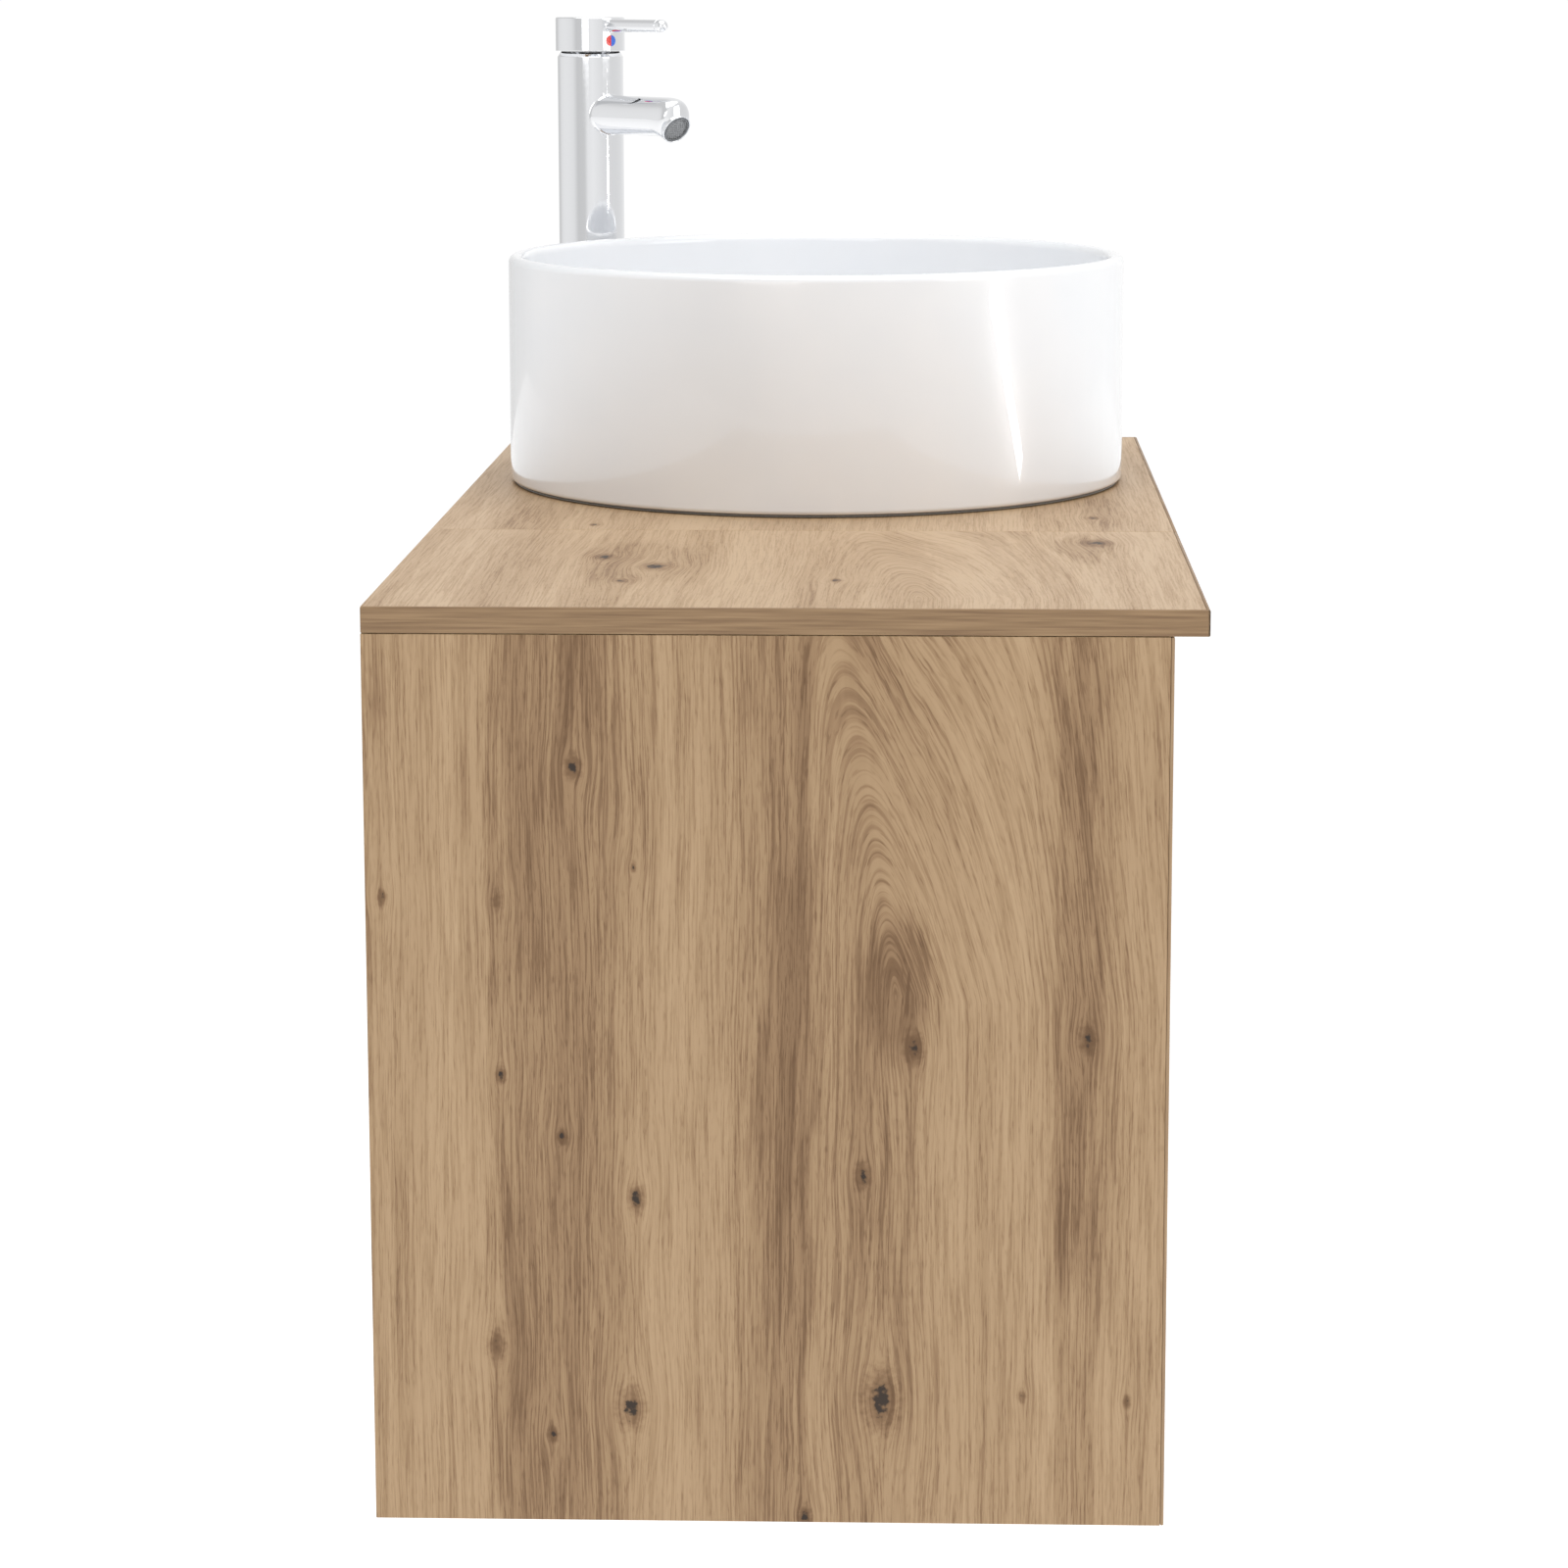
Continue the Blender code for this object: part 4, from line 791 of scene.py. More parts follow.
def make_board(node, mat, bands=(), raw=(), raw_mat=RAW_BOARD, slot="oak_laminate"):
    """A board with bands on some sides and bare core on others."""
    mesh = copy_of(node)
    low, high = corners(node)
    for side, thickness, band_mat in bands:
        axis, far = SIDES[side]
        edge = (high if far else low)[axis]
        step = Vector((0, 0, 0))
        step[axis] = -(thickness + JOINT) if far else thickness + JOINT
        verts = [v for v in mesh.verts if abs(v.co[axis] - edge) < 2 * WELD]
        bmesh.ops.translate(mesh, vec=step, verts=verts)
        make_band(node, side, thickness, band_mat)
    ease_edges(mesh, BOARD_EASE, longer_than=LONG_EDGE)
    for face in mesh.faces:
        for side in raw:
            axis, far = SIDES[side]
            if face.normal[axis] * (1 if far else -1) > 0.9:
                face.material_index = 1
    mats = [mat, raw_mat] if raw else [mat]
    finish_piece(f"{node}_board", mesh, mats, node, smooth=FLAT_SHADING)


FRONT_BAND = (("front", BAND, BAND_UP),)
THIN_BAND = (("front", FRONT_EDGE_BAND, BAND_LONG),)
LEFT_BANDS = (("front", BAND, BAND_LONG), ("left", BAND, BAND_SIDE))
RIGHT_BANDS = (("front", BAND, BAND_LONG), ("right", BAND, BAND_SIDE))
FRONT_BANDS = [(side, FRONT_EDGE_BAND, BAND_LONG) for side in ("top", "bottom")]
FRONT_BANDS += [(side, FRONT_EDGE_BAND, BAND_UP) for side in ("left", "right")]

# nodes, finish, bands, the sides that stay raw, and what differs for the backs
BOARDS = [
    ("left_end_panel", OAK["end_panel"], FRONT_BAND, ("back", "top")),
    ("right_end_panel", OAK["right_panel"], FRONT_BAND, ("back", "top")),
    ("cupboard_partition sink_partition", OAK["partition"], FRONT_BAND, ("back", "top")),
    ("cupboard_floor sink_floor", OAK["floor_and_shelf"], THIN_BAND, ("back",)),
    ("cupboard_front_rail sink_front_rail", OAK["floor_and_shelf"], THIN_BAND, ("back",)),
    ("cupboard_shelf", OAK["floor_and_shelf"], THIN_BAND, ("back",)),
    ("cupboard_hanging_rail sink_hanging_rail", OAK["rail"], (), ("bottom", "top")),
    ("cupboard_worktop", OAK["cupboard_top"], LEFT_BANDS, ("back",)),
    ("sink_worktop", OAK["sink_top"], RIGHT_BANDS, ("back",)),
    ("cupboard_back sink_back", WHITE_LACQUER, (), ("back",), HARDBOARD, "back_board"),
    ("cupboard_door", OAK["door"], FRONT_BANDS),
    ("upper_drawer_front", OAK["upper_front"], FRONT_BANDS),
    ("lower_drawer_front", OAK["lower_front"], FRONT_BANDS),
]
for nodes, *finish in BOARDS:
    for node in nodes.split():
        make_board(node, *finish)
for node in [n for n in frame["nodes"] if "_drawer_" in n and not n.endswith("_front")]:
    make_board(node, MELAMINE, (), ("back",) if "side" in node else (), slot="drawer_board")
print("boards made:", len(MADE), "pieces")

# %% [markdown]
# ## Turned pieces
# Basin, waste and tap are round, so each starts as a half section: a short list of radius and
# height, with its round corners worked out as arcs. One function spins it round an upright axis.

# %% Turning helpers
LONG_RUN = 5 * MM
HOLD = 0.4 * MM
POLE_WELD = 0.001 * MM


def arc(centre, radius, start, end, steps):
    """Points of a section's arc, in degrees from the outward direction."""
    turns = [math.radians(start + (end - start) * i / steps) for i in range(steps + 1)]
    return [(centre[0] + radius * math.cos(a), centre[1] + radius * math.sin(a)) for a in turns]


def held(section):
    """Adds a point close to each end of a long straight run, so that its shading stays straight."""
    points = [section[0]]
    for start, end in zip(section, section[1:]):
        run = math.dist(start, end)
        if run > LONG_RUN:
            for share in (HOLD / run, 1 - HOLD / run):
                points.append(tuple(a + (b - a) * share for a, b in zip(start, end)))
        points.append(end)
    return points


def lathe(section, segments=128):
    """Spins a section of (radius, height) points round Z. It closes on itself or on the axis."""
    mesh = bmesh.new()
    verts = [mesh.verts.new((radius, 0, height)) for radius, height in held(section)]
    pairs = list(zip(verts, verts[1:]))
    if section[0][0] > 0:
        pairs.append((verts[-1], verts[0]))
    edges = [mesh.edges.new(pair) for pair in pairs]
    round_turn = {"cent": (0, 0, 0), "axis": (0, 0, 1), "angle": 2 * math.pi, "use_merge": True}
    bmesh.ops.spin(mesh, geom=verts + edges, steps=segments, **round_turn)
    bmesh.ops.remove_doubles(mesh, verts=mesh.verts, dist=POLE_WELD)
    bmesh.ops.dissolve_degenerate(mesh, edges=mesh.edges, dist=POLE_WELD)
    bmesh.ops.recalc_face_normals(mesh, faces=mesh.faces)
    if mesh.calc_volume(signed=True) < 0:
        bmesh.ops.reverse_faces(mesh, faces=mesh.faces)
    return mesh


def placed(mesh, matrix):
    """The mesh with its place put into its points."""
    bmesh.ops.transform(mesh, matrix=matrix, verts=mesh.verts)
    return mesh


def joined(*meshes):
    """Several bmeshes as one, still as separate shells."""
    whole = bmesh.new()
    for mesh in meshes:
        data = bpy.data.meshes.new("part")
        mesh.to_mesh(data)
        mesh.free()
        whole.from_mesh(data)
        bpy.data.meshes.remove(data)
    return whole


print("turning helpers ready")

# %% [markdown]
# ## The basin
# The basin is one straight-sided bowl. Its wall is 10 mm thick with a fully rounded lip, and its
# floor falls a few millimetres to the waste. Its foot is a ring, bedded in a thin bead of silicone.

# %% Basin and its bead
WALL = 10 * MM
BOWL_CORNER = 45 * MM
FLOOR_THICK = 16 * MM
FLOOR_FALL = 7 * MM
FOOT_ROUND = 3 * MM
FOOT_RING = 20 * MM
FOOT_SLOPE = 2 * MM
FOOT_HOLLOW = 4 * MM
BEAD_WIDTH = 14 * MM
WASTE_SEAT = 32.6 * MM
SEAT_APRON = 12 * MM
APRON_RISE = 1.8 * MM
SEAT_ROUND = 2 * MM
SEAT_LIP = 0.8 * MM
WASTE_SEAT_DEPTH = 3.4 * MM
WASTE_HOLE = 22.5 * MM

BASIN_R = (BASIN_HIGH.x - BASIN_LOW.x) / 2
BASIN_H = BASIN_HIGH.z - BASIN_LOW.z


def basin_section():
    rim = WALL / 2
    inner = BASIN_R - WALL
    floor_edge = FLOOR_THICK + FLOOR_FALL
    section = arc((BASIN_R - rim, BASIN_H - rim), rim, 0, 180, 16)
    section += arc((inner - BOWL_CORNER, floor_edge + BOWL_CORNER), BOWL_CORNER, 0, -86, 20)
    section += [(WASTE_SEAT + SEAT_APRON, FLOOR_THICK + APRON_RISE)]
    seat_middle = (WASTE_SEAT + SEAT_ROUND, FLOOR_THICK + SEAT_LIP - SEAT_ROUND)
    section += arc(seat_middle, SEAT_ROUND, 90, 180, 6)
    section += [
        (WASTE_SEAT, FLOOR_THICK - WASTE_SEAT_DEPTH),
        (WASTE_HOLE, FLOOR_THICK - WASTE_SEAT_DEPTH),
        (WASTE_HOLE, 0),
        (WASTE_HOLE + FOOT_RING, 0),
        (WASTE_HOLE + FOOT_RING + FOOT_SLOPE, FOOT_HOLLOW),
        (BASIN_R - FOOT_RING - FOOT_SLOPE, FOOT_HOLLOW),
        (BASIN_R - FOOT_RING, 0),
    ]
    return section + arc((BASIN_R - FOOT_ROUND, FOOT_ROUND), FOOT_ROUND, -90, 0, 8)


def at_basin(height):
    return Matrix.Translation((BASIN_AXIS.x, BASIN_AXIS.y, height))


bowl = placed(lathe(basin_section(), 192), at_basin(BASIN_LOW.z))
finish_piece("basin_bowl", bowl, [GLAZE], "basin", smooth=60)

SEAL_LOW, SEAL_HIGH = corners("basin_seal")
SEAL_R = (SEAL_HIGH.x - SEAL_LOW.x) / 2
SEAL_H = SEAL_HIGH.z - SEAL_LOW.z
bead = [(SEAL_R - BEAD_WIDTH, 0), (SEAL_R - BEAD_WIDTH, SEAL_H)]
bead += arc((SEAL_R - SEAL_H / 2, SEAL_H / 2), SEAL_H / 2, 90, -90, 8)
bead_ring = placed(lathe(bead, 192), at_basin(SEAL_LOW.z))
finish_piece("basin_bead", bead_ring, [SILICONE], "basin_seal")
print("basin", round(2000 * BASIN_R), "mm across,", round(1000 * BASIN_H), "mm high")

# %% [markdown]
# ## Waste
# The waste is a chromed flange let into the floor of the bowl, with a domed plug that lifts on its
# stem.

# %% Waste
FLANGE_LOW, FLANGE_HIGH = corners("drain_body")
PLUG_LOW, PLUG_HIGH = corners("drain_plug")
FLANGE_R = (FLANGE_HIGH.x - FLANGE_LOW.x) / 2
PLUG_R = (PLUG_HIGH.x - PLUG_LOW.x) / 2
WASTE_TUBE = 21 * MM
WASTE_BORE = 18 * MM
FLANGE_THICK = 3 * MM
FLANGE_EDGE = 1.4 * MM
STEM = 5 * MM
STEM_ROOT = 15 * MM
DOME_DROP = 5 * MM
DOME_THICK = 6.5 * MM
DOME_SHARES = (0.2, 0.4, 0.55, 0.7, 0.8, 0.88, 0.94, 0.98)

flange_top = FLANGE_HIGH.z - FLANGE_LOW.z
flange = [(WASTE_TUBE, 0), (WASTE_TUBE, flange_top - FLANGE_THICK), (FLANGE_R, flange_top - FLANGE_THICK)]
flange += arc((FLANGE_R - FLANGE_EDGE, flange_top - FLANGE_EDGE), FLANGE_EDGE, 0, 90, 6)
flange += arc((WASTE_BORE + FLANGE_THICK, flange_top - FLANGE_THICK), FLANGE_THICK, 90, 180, 6)
flange += [(WASTE_BORE, 0)]
flange_mesh = placed(lathe(flange, 96), at_basin(FLANGE_LOW.z))
finish_piece("waste_flange", flange_mesh, [CHROME], "drain_body")

plug_rise = PLUG_HIGH.z - PLUG_LOW.z
dome = plug_rise - DOME_THICK
plug = [(0, plug_rise)]
plug += [(PLUG_R * s, plug_rise - DOME_DROP * s**4) for s in DOME_SHARES]
plug += arc((PLUG_R - 0.6 * MM, dome + 0.7 * MM), 0.6 * MM, 20, -90, 4)
plug += [(STEM_ROOT, dome), (STEM, dome - 4 * MM), (STEM, 0.6 * MM), (STEM - 0.6 * MM, 0), (0, 0)]
plug_mesh = placed(lathe(plug, 96), at_basin(PLUG_LOW.z))
finish_piece("waste_plug", plug_mesh, [CHROME], "drain_plug")
print("plug", round(2000 * PLUG_R), "mm across")

# %% [markdown]
# ## Lock nut and trap
# The waste's lock nut is tightened by hand, so it has grip ribs: some columns of its points are
# drawn in. Below it, the moulded bottle trap keeps its solid's shape with softened edges.

# %% Trap
GRIPS = 24
GRIP_DEPTH = 1.2 * MM
MOULD_ROUND = 0.7 * MM


def gripped(section, low, high, radius, segments=96):
    """A turned piece with finger grips between two heights on its outside."""
    mesh = lathe(section, segments)
    for vert in mesh.verts:
        reach = math.hypot(vert.co.x, vert.co.y)
        if low < vert.co.z < high and reach > radius - 0.1 * MM:
            turn = math.atan2(vert.co.y, vert.co.x) * GRIPS / (2 * math.pi)
            if (turn % 1.0) < 0.5:
                vert.co.x *= 1 - GRIP_DEPTH / reach
                vert.co.y *= 1 - GRIP_DEPTH / reach
    return mesh


NUT_LOW, NUT_HIGH = corners("drain_nut")
nut_r = (NUT_HIGH.x - NUT_LOW.x) / 2
nut_h = NUT_HIGH.z - NUT_LOW.z
nut = [(nut_r - MM, 0), (nut_r, MM), (nut_r, nut_h - MM), (nut_r - MM, nut_h)]
nut += [(WASTE_TUBE + TOUCH, nut_h), (WASTE_TUBE + TOUCH, 0)]
nut_mesh = placed(gripped(nut, 0.5 * MM, nut_h - 0.5 * MM, nut_r), at_basin(NUT_LOW.z))
finish_piece("waste_lock_nut", nut_mesh, [POLYPROPYLENE], "drain_nut")

for trap_piece in ("trap_body", "trap_cup", "trap_outlet"):
    mesh = copy_of(trap_piece)
    ease_edges(mesh, MOULD_ROUND, sharper_than=30)
    name = f"{trap_piece}_moulding"
    finish_piece(name, mesh, [POLYPROPYLENE], trap_piece, smooth=FLAT_SHADING)
print("trap and nuts made")

# %% [markdown]
# ## The tap's column
# The column is a plain turned tube with a small shoulder under the lever, and a shank below.

# %% Tap column
BODY_LOW, BODY_HIGH = corners("tap_body")
COLUMN_R = 23.65 * MM
SHANK_R = 16 * MM
SHOULDER = 281 * MM
CONE_TOP = 284 * MM
CONE_R = 21 * MM
NECK_R = 20 * MM
CARTRIDGE_BORE = 17.8 * MM
CARTRIDGE_DEPTH = 36.3 * MM
COLUMN_EDGE = 0.8 * MM
CONE_EDGE = 0.3 * MM
NECK_TOP = BODY_HIGH.z - WORKTOP_Z
SHANK_END = BODY_LOW.z - WORKTOP_Z
TAP_PLACE = Matrix.Translation((TAP_AXIS.x, TAP_AXIS.y, WORKTOP_Z)) @ Matrix.Rotation(SPOUT_WAY, 4, "Z")

edge_r = COLUMN_R - COLUMN_EDGE
cartridge_floor = NECK_TOP - CARTRIDGE_DEPTH
column = [(0, SHANK_END), (SHANK_R - MM, SHANK_END), (SHANK_R, SHANK_END + MM), (SHANK_R, TOUCH)]
column += [(edge_r, TOUCH)]
column += arc((edge_r, TOUCH + COLUMN_EDGE), COLUMN_EDGE, -80, 0, 4)
column += arc((edge_r, SHOULDER - COLUMN_EDGE), COLUMN_EDGE, 0, 50, 4)
column += [(CONE_R + CONE_EDGE, CONE_TOP - CONE_EDGE), (CONE_R, CONE_TOP), (NECK_R, CONE_TOP)]
column += [(NECK_R, NECK_TOP), (CARTRIDGE_BORE, NECK_TOP)]
column += [(CARTRIDGE_BORE, cartridge_floor), (0, cartridge_floor)]
print("column", round(2000 * COLUMN_R, 1), "mm across and", round(1000 * NECK_TOP), "mm high")

# %% [markdown]
# ## The spout
# The spout leaves the column with a small cast fillet, runs level, then closes over a collar that
# looks out and down. It is built ring by ring: the first follow the round of the column, the last
# turn and shrink to the mouth.

# %% Spout
SPOUT_R = 13.85 * MM
SPOUT_Z = 239.5 * MM
FILLET = 1.6 * MM
NOSE_START = 84 * MM
MOUTH_REACH = 98.9 * MM
MOUTH_DROP = 7.2 * MM
MOUTH_LEAN = math.radians(33)
COLLAR_R = 11.2 * MM
COLLAR_LIP = 2.6 * MM
AERATOR_R = 10.1 * MM
AERATOR_DEPTH = 6.3 * MM
SPOUT_SIDES = 64
ROOT_RINGS = 6
NOSE_STEPS = 18
SQUARE = 0.5  # the nose's corner: 1 is an ellipse's round, smaller is squarer


def next_ring(mesh, edges, centre, tall, lean, wide=None):
    """Grows a tube by one ring, given its centre, half height, lean and, if oval, half width."""
    wide = wide or tall
    grown = bmesh.ops.extrude_edge_only(mesh, edges=edges)["geom"]
    verts = [g for g in grown if isinstance(g, bmesh.types.BMVert)]
    ring = [g for g in grown if isinstance(g, bmesh.types.BMEdge) and all(v in verts for v in g.verts)]
    turn = Matrix.Translation(centre) @ Matrix.Rotation(math.pi / 2 + lean, 4, "Y")
    back, old_tall, old_wide = last_ring
    for vert in verts:
        local = back.inverted() @ vert.co
        vert.co = turn @ Vector((local.x * tall / old_tall, local.y * wide / old_wide, 0))
    last_ring[:] = [turn, tall, wide]
    return ring


spout = bmesh.new()
last_ring = [Matrix.Translation((0, 0, SPOUT_Z)) @ Matrix.Rotation(math.pi / 2, 4, "Y"), SPOUT_R, SPOUT_R]
bmesh.ops.create_circle(spout, cap_ends=True, segments=SPOUT_SIDES, radius=SPOUT_R)
placed(spout, last_ring[0])
ring = list(spout.edges)
root_rings = []
for step in range(ROOT_RINGS):
    turn = math.radians(90 * step / (ROOT_RINGS - 1))
    swell = FILLET * (1 - math.sin(turn))
    ring = next_ring(spout, ring, Vector((FILLET * (step + 1), 0, SPOUT_Z)), SPOUT_R + swell, 0)
    root_rings.append((list({v for e in ring for v in e.verts}), FILLET * (1 - math.cos(turn))))
ring = next_ring(spout, ring, Vector((NOSE_START - 30 * MM, 0, SPOUT_Z)), SPOUT_R, 0)
ring = next_ring(spout, ring, Vector((NOSE_START, 0, SPOUT_Z)), SPOUT_R, 0)
for verts, out in root_rings:
    for vert in verts:
        vert.co.x = math.sqrt(COLUMN_R**2 - min(abs(vert.co.y), COLUMN_R) ** 2) + out - 0.05 * MM
cap = [v for v in spout.verts if abs(v.co.x) < 0.001 * MM]
bmesh.ops.translate(spout, vec=(10 * MM, 0, 0), verts=cap)

mouth = Vector((MOUTH_REACH, 0, SPOUT_Z - MOUTH_DROP))
up_along = Vector((math.sin(MOUTH_LEAN), 0, math.cos(MOUTH_LEAN)))
looks = Vector((math.cos(MOUTH_LEAN), 0, -math.sin(MOUTH_LEAN)))
crown_end = mouth + up_along * COLLAR_R
chin_end = mouth - up_along * COLLAR_R
crown_start = Vector((NOSE_START, 0, SPOUT_Z + SPOUT_R))
chin_start = Vector((NOSE_START, 0, SPOUT_Z - SPOUT_R))
for step in range(1, NOSE_STEPS + 1):
    share = step / NOSE_STEPS
    turn = math.radians(90 * share)
    forward, drop = math.sin(turn) ** SQUARE, 1 - max(math.cos(turn), 0) ** SQUARE
    crown = crown_start.lerp(crown_end, forward)
    crown.z = crown_start.z + (crown_end.z - crown_start.z) * drop
    chin = chin_start.lerp(chin_end, share)
    across = crown - chin
    wide = SPOUT_R + (COLLAR_R - SPOUT_R) * drop
    ring = next_ring(spout, ring, (crown + chin) / 2, across.length / 2, math.atan2(across.x, across.z), wide)
for reach, radius in (
    (0.3 * MM, COLLAR_R - 0.35 * MM),
    (0.5 * MM, COLLAR_R - 0.35 * MM),
    (0.6 * MM, COLLAR_R - 0.05 * MM),
    (COLLAR_LIP - 0.3 * MM, COLLAR_R - 0.05 * MM),
    (COLLAR_LIP, COLLAR_R - 0.3 * MM),
    (COLLAR_LIP, AERATOR_R + 0.2 * MM),
    (COLLAR_LIP - 0.2 * MM, AERATOR_R),
    (COLLAR_LIP - AERATOR_DEPTH, AERATOR_R),
):
    ring = next_ring(spout, ring, mouth + looks * reach, radius, MOUTH_LEAN)
bmesh.ops.contextual_create(spout, geom=ring)
bmesh.ops.recalc_face_normals(spout, faces=spout.faces)
tap_mesh = placed(joined(lathe(column, 128), spout), TAP_PLACE)
finish_piece("tap_column_and_spout", tap_mesh, [CHROME], "tap_body", smooth=35)
print("spout reaches", round(1000 * (mouth.x + looks.x * COLLAR_LIP)), "mm from the column's axis")

# %% [markdown]
# ## Aerator and glide ring
# The aerator is a moulded insert with a rim and a fine grid. A black glide ring closes the gap
# between the lever's cap and the column.

# %% Aerator and glide ring
mouth_turn = Matrix.Translation(mouth) @ Matrix.Rotation(math.pi / 2 + MOUTH_LEAN, 4, "Y")
INSERT_R = 9.8 * MM
RIM_WIDTH = 1.3 * MM
GLIDE_R = 20.8 * MM  # small enough for the cap's skirt to clear it when the lever tilts
GLIDE_H = 1.4 * MM
GLIDE_GAP = 0.1 * MM
RIM_ROUND = 0.5 * MM
RIM_TOP = COLLAR_LIP + 0.1 * MM
GRID_EDGE = COLLAR_LIP - 1.1 * MM  # the grid bulges a little in its middle
insert_low = COLLAR_LIP - AERATOR_DEPTH + TOUCH
insert = [(0, insert_low), (INSERT_R, insert_low)]
insert += arc((INSERT_R - RIM_ROUND, RIM_TOP - RIM_ROUND), RIM_ROUND, 0, 90, 4)
insert += [(INSERT_R - RIM_WIDTH, RIM_TOP), (INSERT_R - RIM_WIDTH, GRID_EDGE)]
insert += [(INSERT_R / 2, GRID_EDGE + 0.2 * MM), (0, GRID_EDGE + 0.3 * MM)]
insert_mesh = placed(lathe(insert, 96), TAP_PLACE @ mouth_turn)
for face in insert_mesh.faces:
    local = (TAP_PLACE @ mouth_turn).inverted() @ face.calc_center_median()
    if math.hypot(local.x, local.y) < INSERT_R - RIM_WIDTH and local.z > insert_low + MM:
        face.material_index = 1
finish_piece("aerator_insert", insert_mesh, [GREY_ABS, MESH_GREY], "tap_aerator")

glide = [(NECK_R + GLIDE_GAP, CONE_TOP + GLIDE_GAP), (GLIDE_R, CONE_TOP + GLIDE_GAP)]
glide += [(GLIDE_R, CONE_TOP + GLIDE_H), (NECK_R + GLIDE_GAP, CONE_TOP + GLIDE_H)]
glide_mesh = placed(lathe(glide, 96), TAP_PLACE)
finish_piece("tap_glide_ring", glide_mesh, [RUBBER], "tap_body", stands_for=False)

# %% [markdown]
# ## Lever and marker
# The lever is a turned cap with a round pin screwed into it; the pin ends in a half ball behind a
# fine groove. Under the pin sits a small two-coloured marker.

# %% Lever and marker
CAP_R = 24.9 * MM
CAP_WALL = 2.5 * MM
CAP_LOW = 284.5 * MM
CAP_HIGH = 308.6 * MM
CAP_ROOF = 4 * MM
CAP_FLAT = 6 * MM
CAP_ROUND = 1.2 * MM
SKIRT_EDGE = 0.4 * MM
PIN_R = 4.6 * MM
PIN_COLLAR_R = 5.2 * MM
PIN_COLLAR = 2.4 * MM
PIN_SUNK = 2 * MM
PIN_Z = 302.8 * MM
PIN_END = 88.7 * MM
GROOVE_BACK = 7.5 * MM
MARKER_R = 4.2 * MM
MARKER_Z = 292 * MM
MARKER_ROUND = 0.5 * MM
MARKER_RISE = 1.15 * MM
MARKER_SUNK = 0.95 * MM
MARKER_SPECK_MM = 0.8
MARKER_HALVES = [(0.0, "#F02C1E"), (0.35, "#E8261A"), (0.65, "#2A66D8"), (1.0, "#2F6FE0")]
SEAM_BLUR = 0.15 * MM

cap_inner = CAP_R - CAP_WALL
cap_section = [(0, CAP_HIGH), (CAP_R - CAP_FLAT, CAP_HIGH)]
cap_section += arc((CAP_R - CAP_ROUND, CAP_HIGH - CAP_ROUND), CAP_ROUND, 90, 0, 6)
cap_section += arc((CAP_R - SKIRT_EDGE, CAP_LOW + SKIRT_EDGE), SKIRT_EDGE, 0, -90, 3)
cap_section += [(cap_inner, CAP_LOW), (cap_inner, CAP_HIGH - CAP_ROOF), (0, CAP_HIGH - CAP_ROOF)]
pin_length = PIN_END - CAP_R + PIN_SUNK
pin_section = [(0, 0), (PIN_COLLAR_R, 0), (PIN_COLLAR_R, PIN_COLLAR)]
pin_section += [(PIN_R, PIN_COLLAR + PIN_COLLAR_R - PIN_R)]
for groove, depth in ((-0.35, 0), (-0.15, 0.2), (0.15, 0.2), (0.35, 0)):
    pin_section.append((PIN_R - depth * MM, pin_length - GROOVE_BACK + groove * MM))
pin_section += arc((0, pin_length - PIN_R), PIN_R, 0, 90, 12)
pin_turn = Matrix.Translation((CAP_R - PIN_SUNK, 0, PIN_Z)) @ Matrix.Rotation(math.pi / 2, 4, "Y")
lever = placed(joined(lathe(cap_section, 128), placed(lathe(pin_section, 64), pin_turn)), TAP_PLACE)
finish_piece("lever_cap_and_pin", lever, [CHROME], "tap_lever", smooth=35)


def marker_material():
    """Moulded acrylic in two halves: red for hot and blue for cold."""
    mat, tree, shader = new_material("two_colour_marker", Roughness=0.25, IOR=1.49, Coat_Weight=0.6)
    place = object_place(tree)
    side = TAP_PLACE.to_3x3() @ Vector((0, 1, 0))
    seam = side.dot(TAP_PLACE.translation)
    lateral = vectors(tree, "DOT_PRODUCT", place, side)
    half = ranged(tree, lateral, seam - SEAM_BLUR, seam + SEAM_BLUR, 0.0, 1.0)
    depth = maths(tree, "MULTIPLY_ADD", noise(tree, place, 1 / (MARKER_SPECK_MM * MM)), 0.06, half)
    tree.links.new(ramp(tree, depth, MARKER_HALVES), shader.inputs["Base Color"])
    return mat


marker = [(0, 0), (MARKER_R, 0)]
marker += arc((MARKER_R - MARKER_ROUND, MARKER_ROUND), MARKER_ROUND, 0, 90, 4)
marker += [(MARKER_R / 2, MARKER_RISE - 0.03 * MM), (0, MARKER_RISE)]
marker_turn = Matrix.Translation((CAP_R - MARKER_SUNK, 0, MARKER_Z)) @ Matrix.Rotation(math.pi / 2, 4, "Y")
marker_mesh = placed(lathe(marker, 48), TAP_PLACE @ marker_turn)
finish_piece("hot_cold_marker", marker_mesh, [marker_material()], "tap_index")
print("lever pin ends", round(1000 * PIN_END), "mm from the axis")

# %% [markdown]
# ## Hinges, runners and hidden pieces
# The runners and hinges are pressed and rolled sheet. They keep their solid's shape with their
# edges eased by a quarter of a millimetre, because a sheared edge is never knife sharp. The runners
# and the hinge cups get rows of pan heads. Pieces that never show keep their solid and get a finish.

# %% Sheet-metal pieces
SHEET_EASE = 0.25 * MM
SCREW_R = 3.6 * MM
SCREW_RISE = 1.5 * MM

for sheet in [n for n in frame["nodes"] if n.endswith(("_runner", "_slider", "_hinge_arm", "_hinge_cup"))]:
    mesh = copy_of(sheet)
    ease_edges(mesh, SHEET_EASE, sharper_than=60)
    finish_piece(f"{sheet}_sheet", mesh, [ZINC], sheet, smooth=FLAT_SHADING)


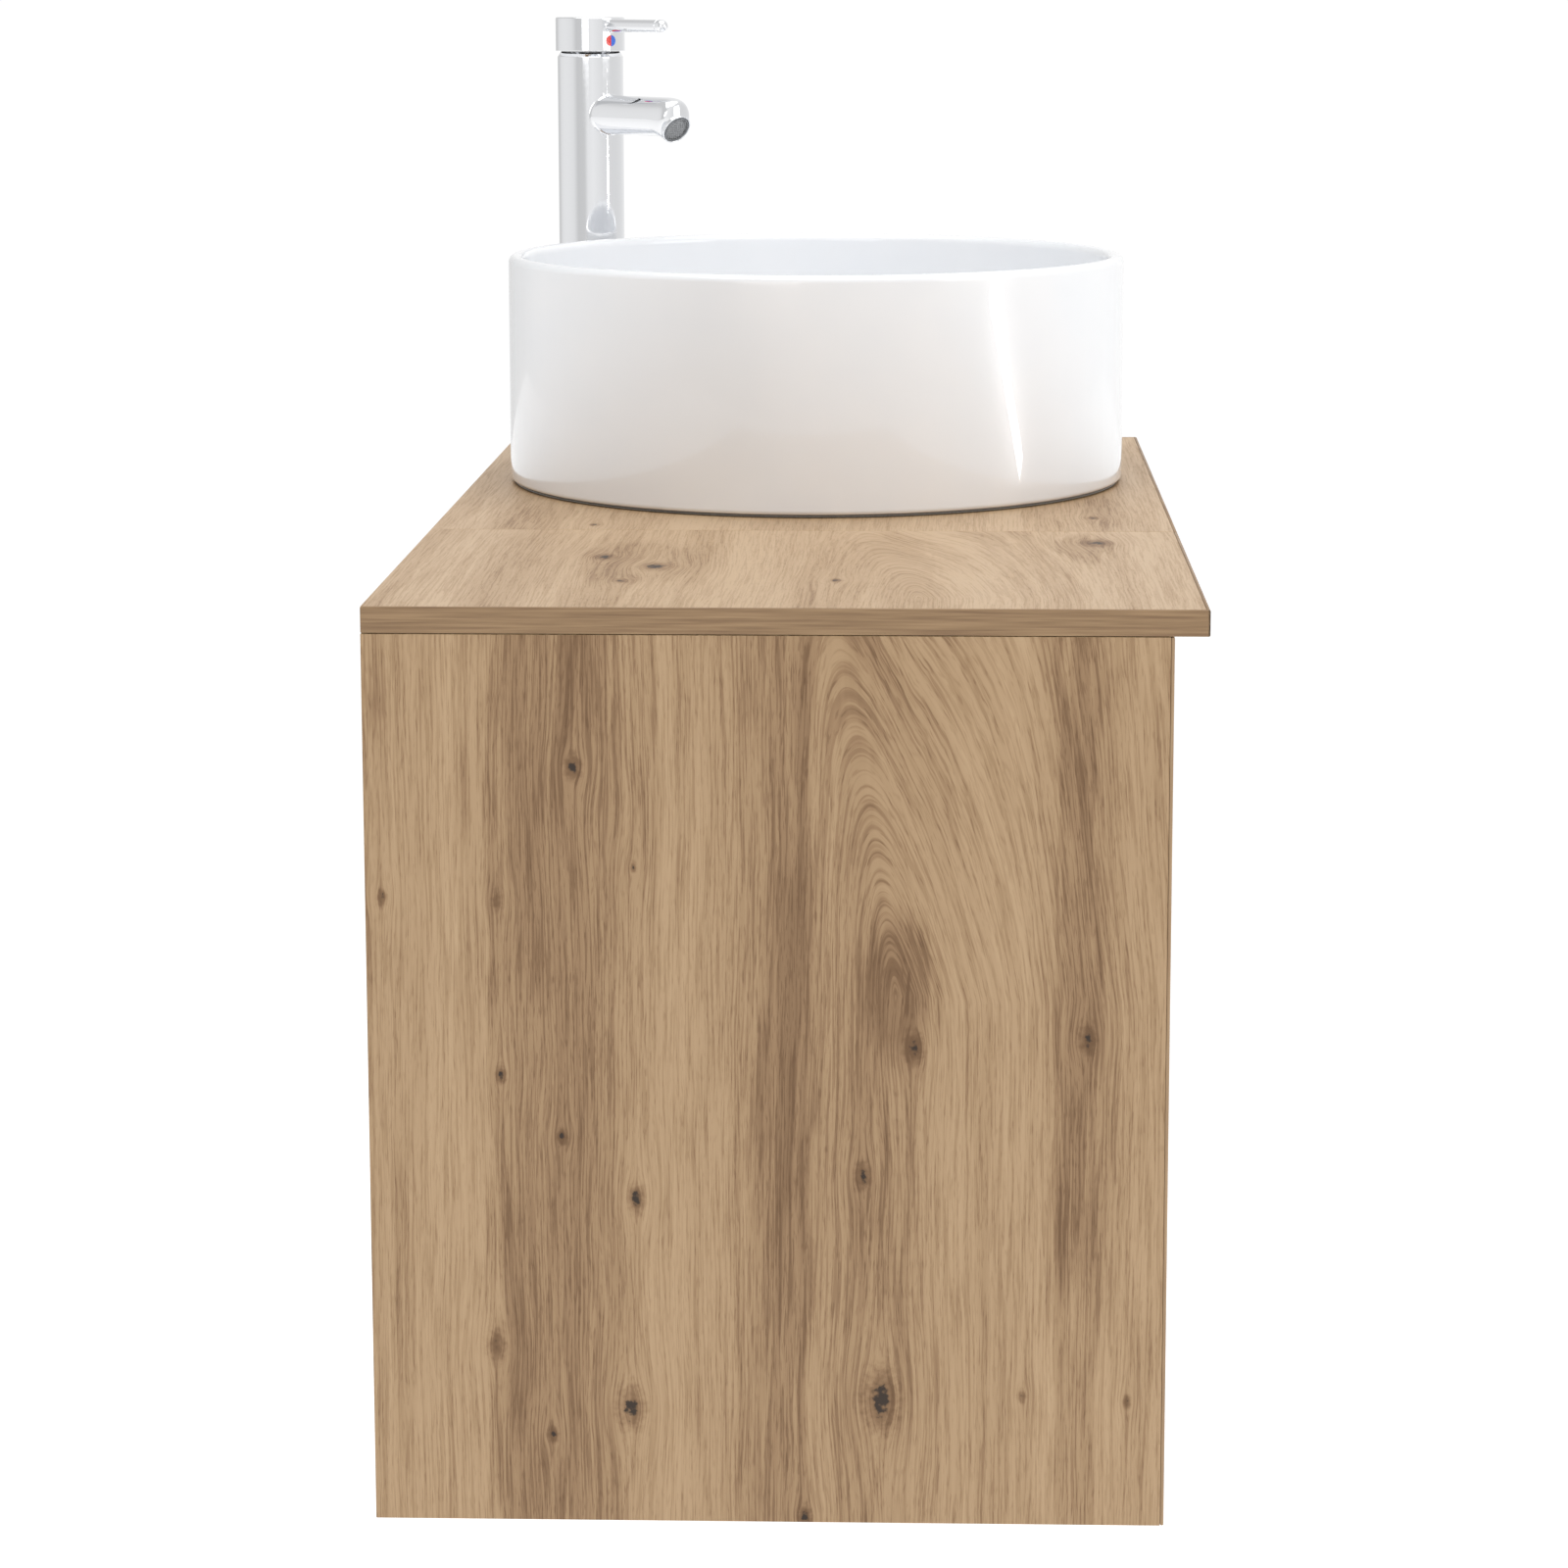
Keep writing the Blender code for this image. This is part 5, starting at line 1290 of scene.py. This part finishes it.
def screw_head():
    """A pan head with a driver recess, its seat at z = 0."""
    section = [(0, 0.4 * MM), (0.9 * MM, 0.7 * MM), (1.2 * MM, SCREW_RISE - 0.15 * MM)]
    section += [(1.5 * MM, SCREW_RISE)]
    section += [(0.6 * SCREW_R, SCREW_RISE - 0.02 * MM), (0.85 * SCREW_R, 0.9 * MM), (SCREW_R, 0.25 * MM)]
    section += [(SCREW_R, 0), (0, 0)]
    return lathe(section, 24)


def screw_row(name, node, places, facing):
    """Screw heads at several places, facing one way, on one node's body."""
    turn = Vector(facing).to_track_quat("Z", "Y").to_matrix().to_4x4()
    heads = [placed(screw_head(), Matrix.Translation(place) @ turn) for place in places]
    finish_piece(name, joined(*heads), [ZINC], node, stands_for=False)


WEB = 1.2 * MM
SCREW_SHARES = (0.12, 0.5, 0.88)
CUP_SCREW = 24 * MM
for level in ("upper", "lower"):
    for side, way in (("left", 1), ("right", -1)):
        node = f"{level}_{side}_runner"
        low, high = corners(node)
        web = low.x + WEB if side == "left" else high.x - WEB
        reach = [(web, low.y + share * (high.y - low.y), (low.z + high.z) / 2) for share in SCREW_SHARES]
        screw_row(f"{node}_screws", node, reach, (way, 0, 0))
for level in ("upper", "lower"):
    cup_low, cup_high = corners(f"{level}_hinge_cup")
    cup_mid = (cup_low + cup_high) / 2
    ends = [(cup_mid.x, cup_high.y, cup_mid.z + rise) for rise in (-CUP_SCREW, CUP_SCREW)]
    screw_row(f"{level}_hinge_cup_screws", f"{level}_hinge_cup", ends, (0, 1, 0))
HIDDEN = {"tap_cartridge": POLYPROPYLENE, "tap_spindle": ZINC, "tap_nut": ZINC, "drawer_trap_guard": GREY_ABS}
HIDDEN.update({node: ZINC for node in frame["nodes"] if node.startswith("shelf_pin_")})
for hidden, mat in HIDDEN.items():
    solid = frame["nodes"][hidden]
    if not solid.material_slots:
        solid.data.materials.append(mat)
    for place in solid.material_slots:
        place.material = mat
print("pieces made:", len(MADE))

# %% [markdown]
# ## Closing
# The finished model's box is printed in millimetres.

# %% Print the finished box
low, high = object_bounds()
print("finished box in mm:", [round(1000 * v, 1) for v in low], [round(1000 * v, 1) for v in high])
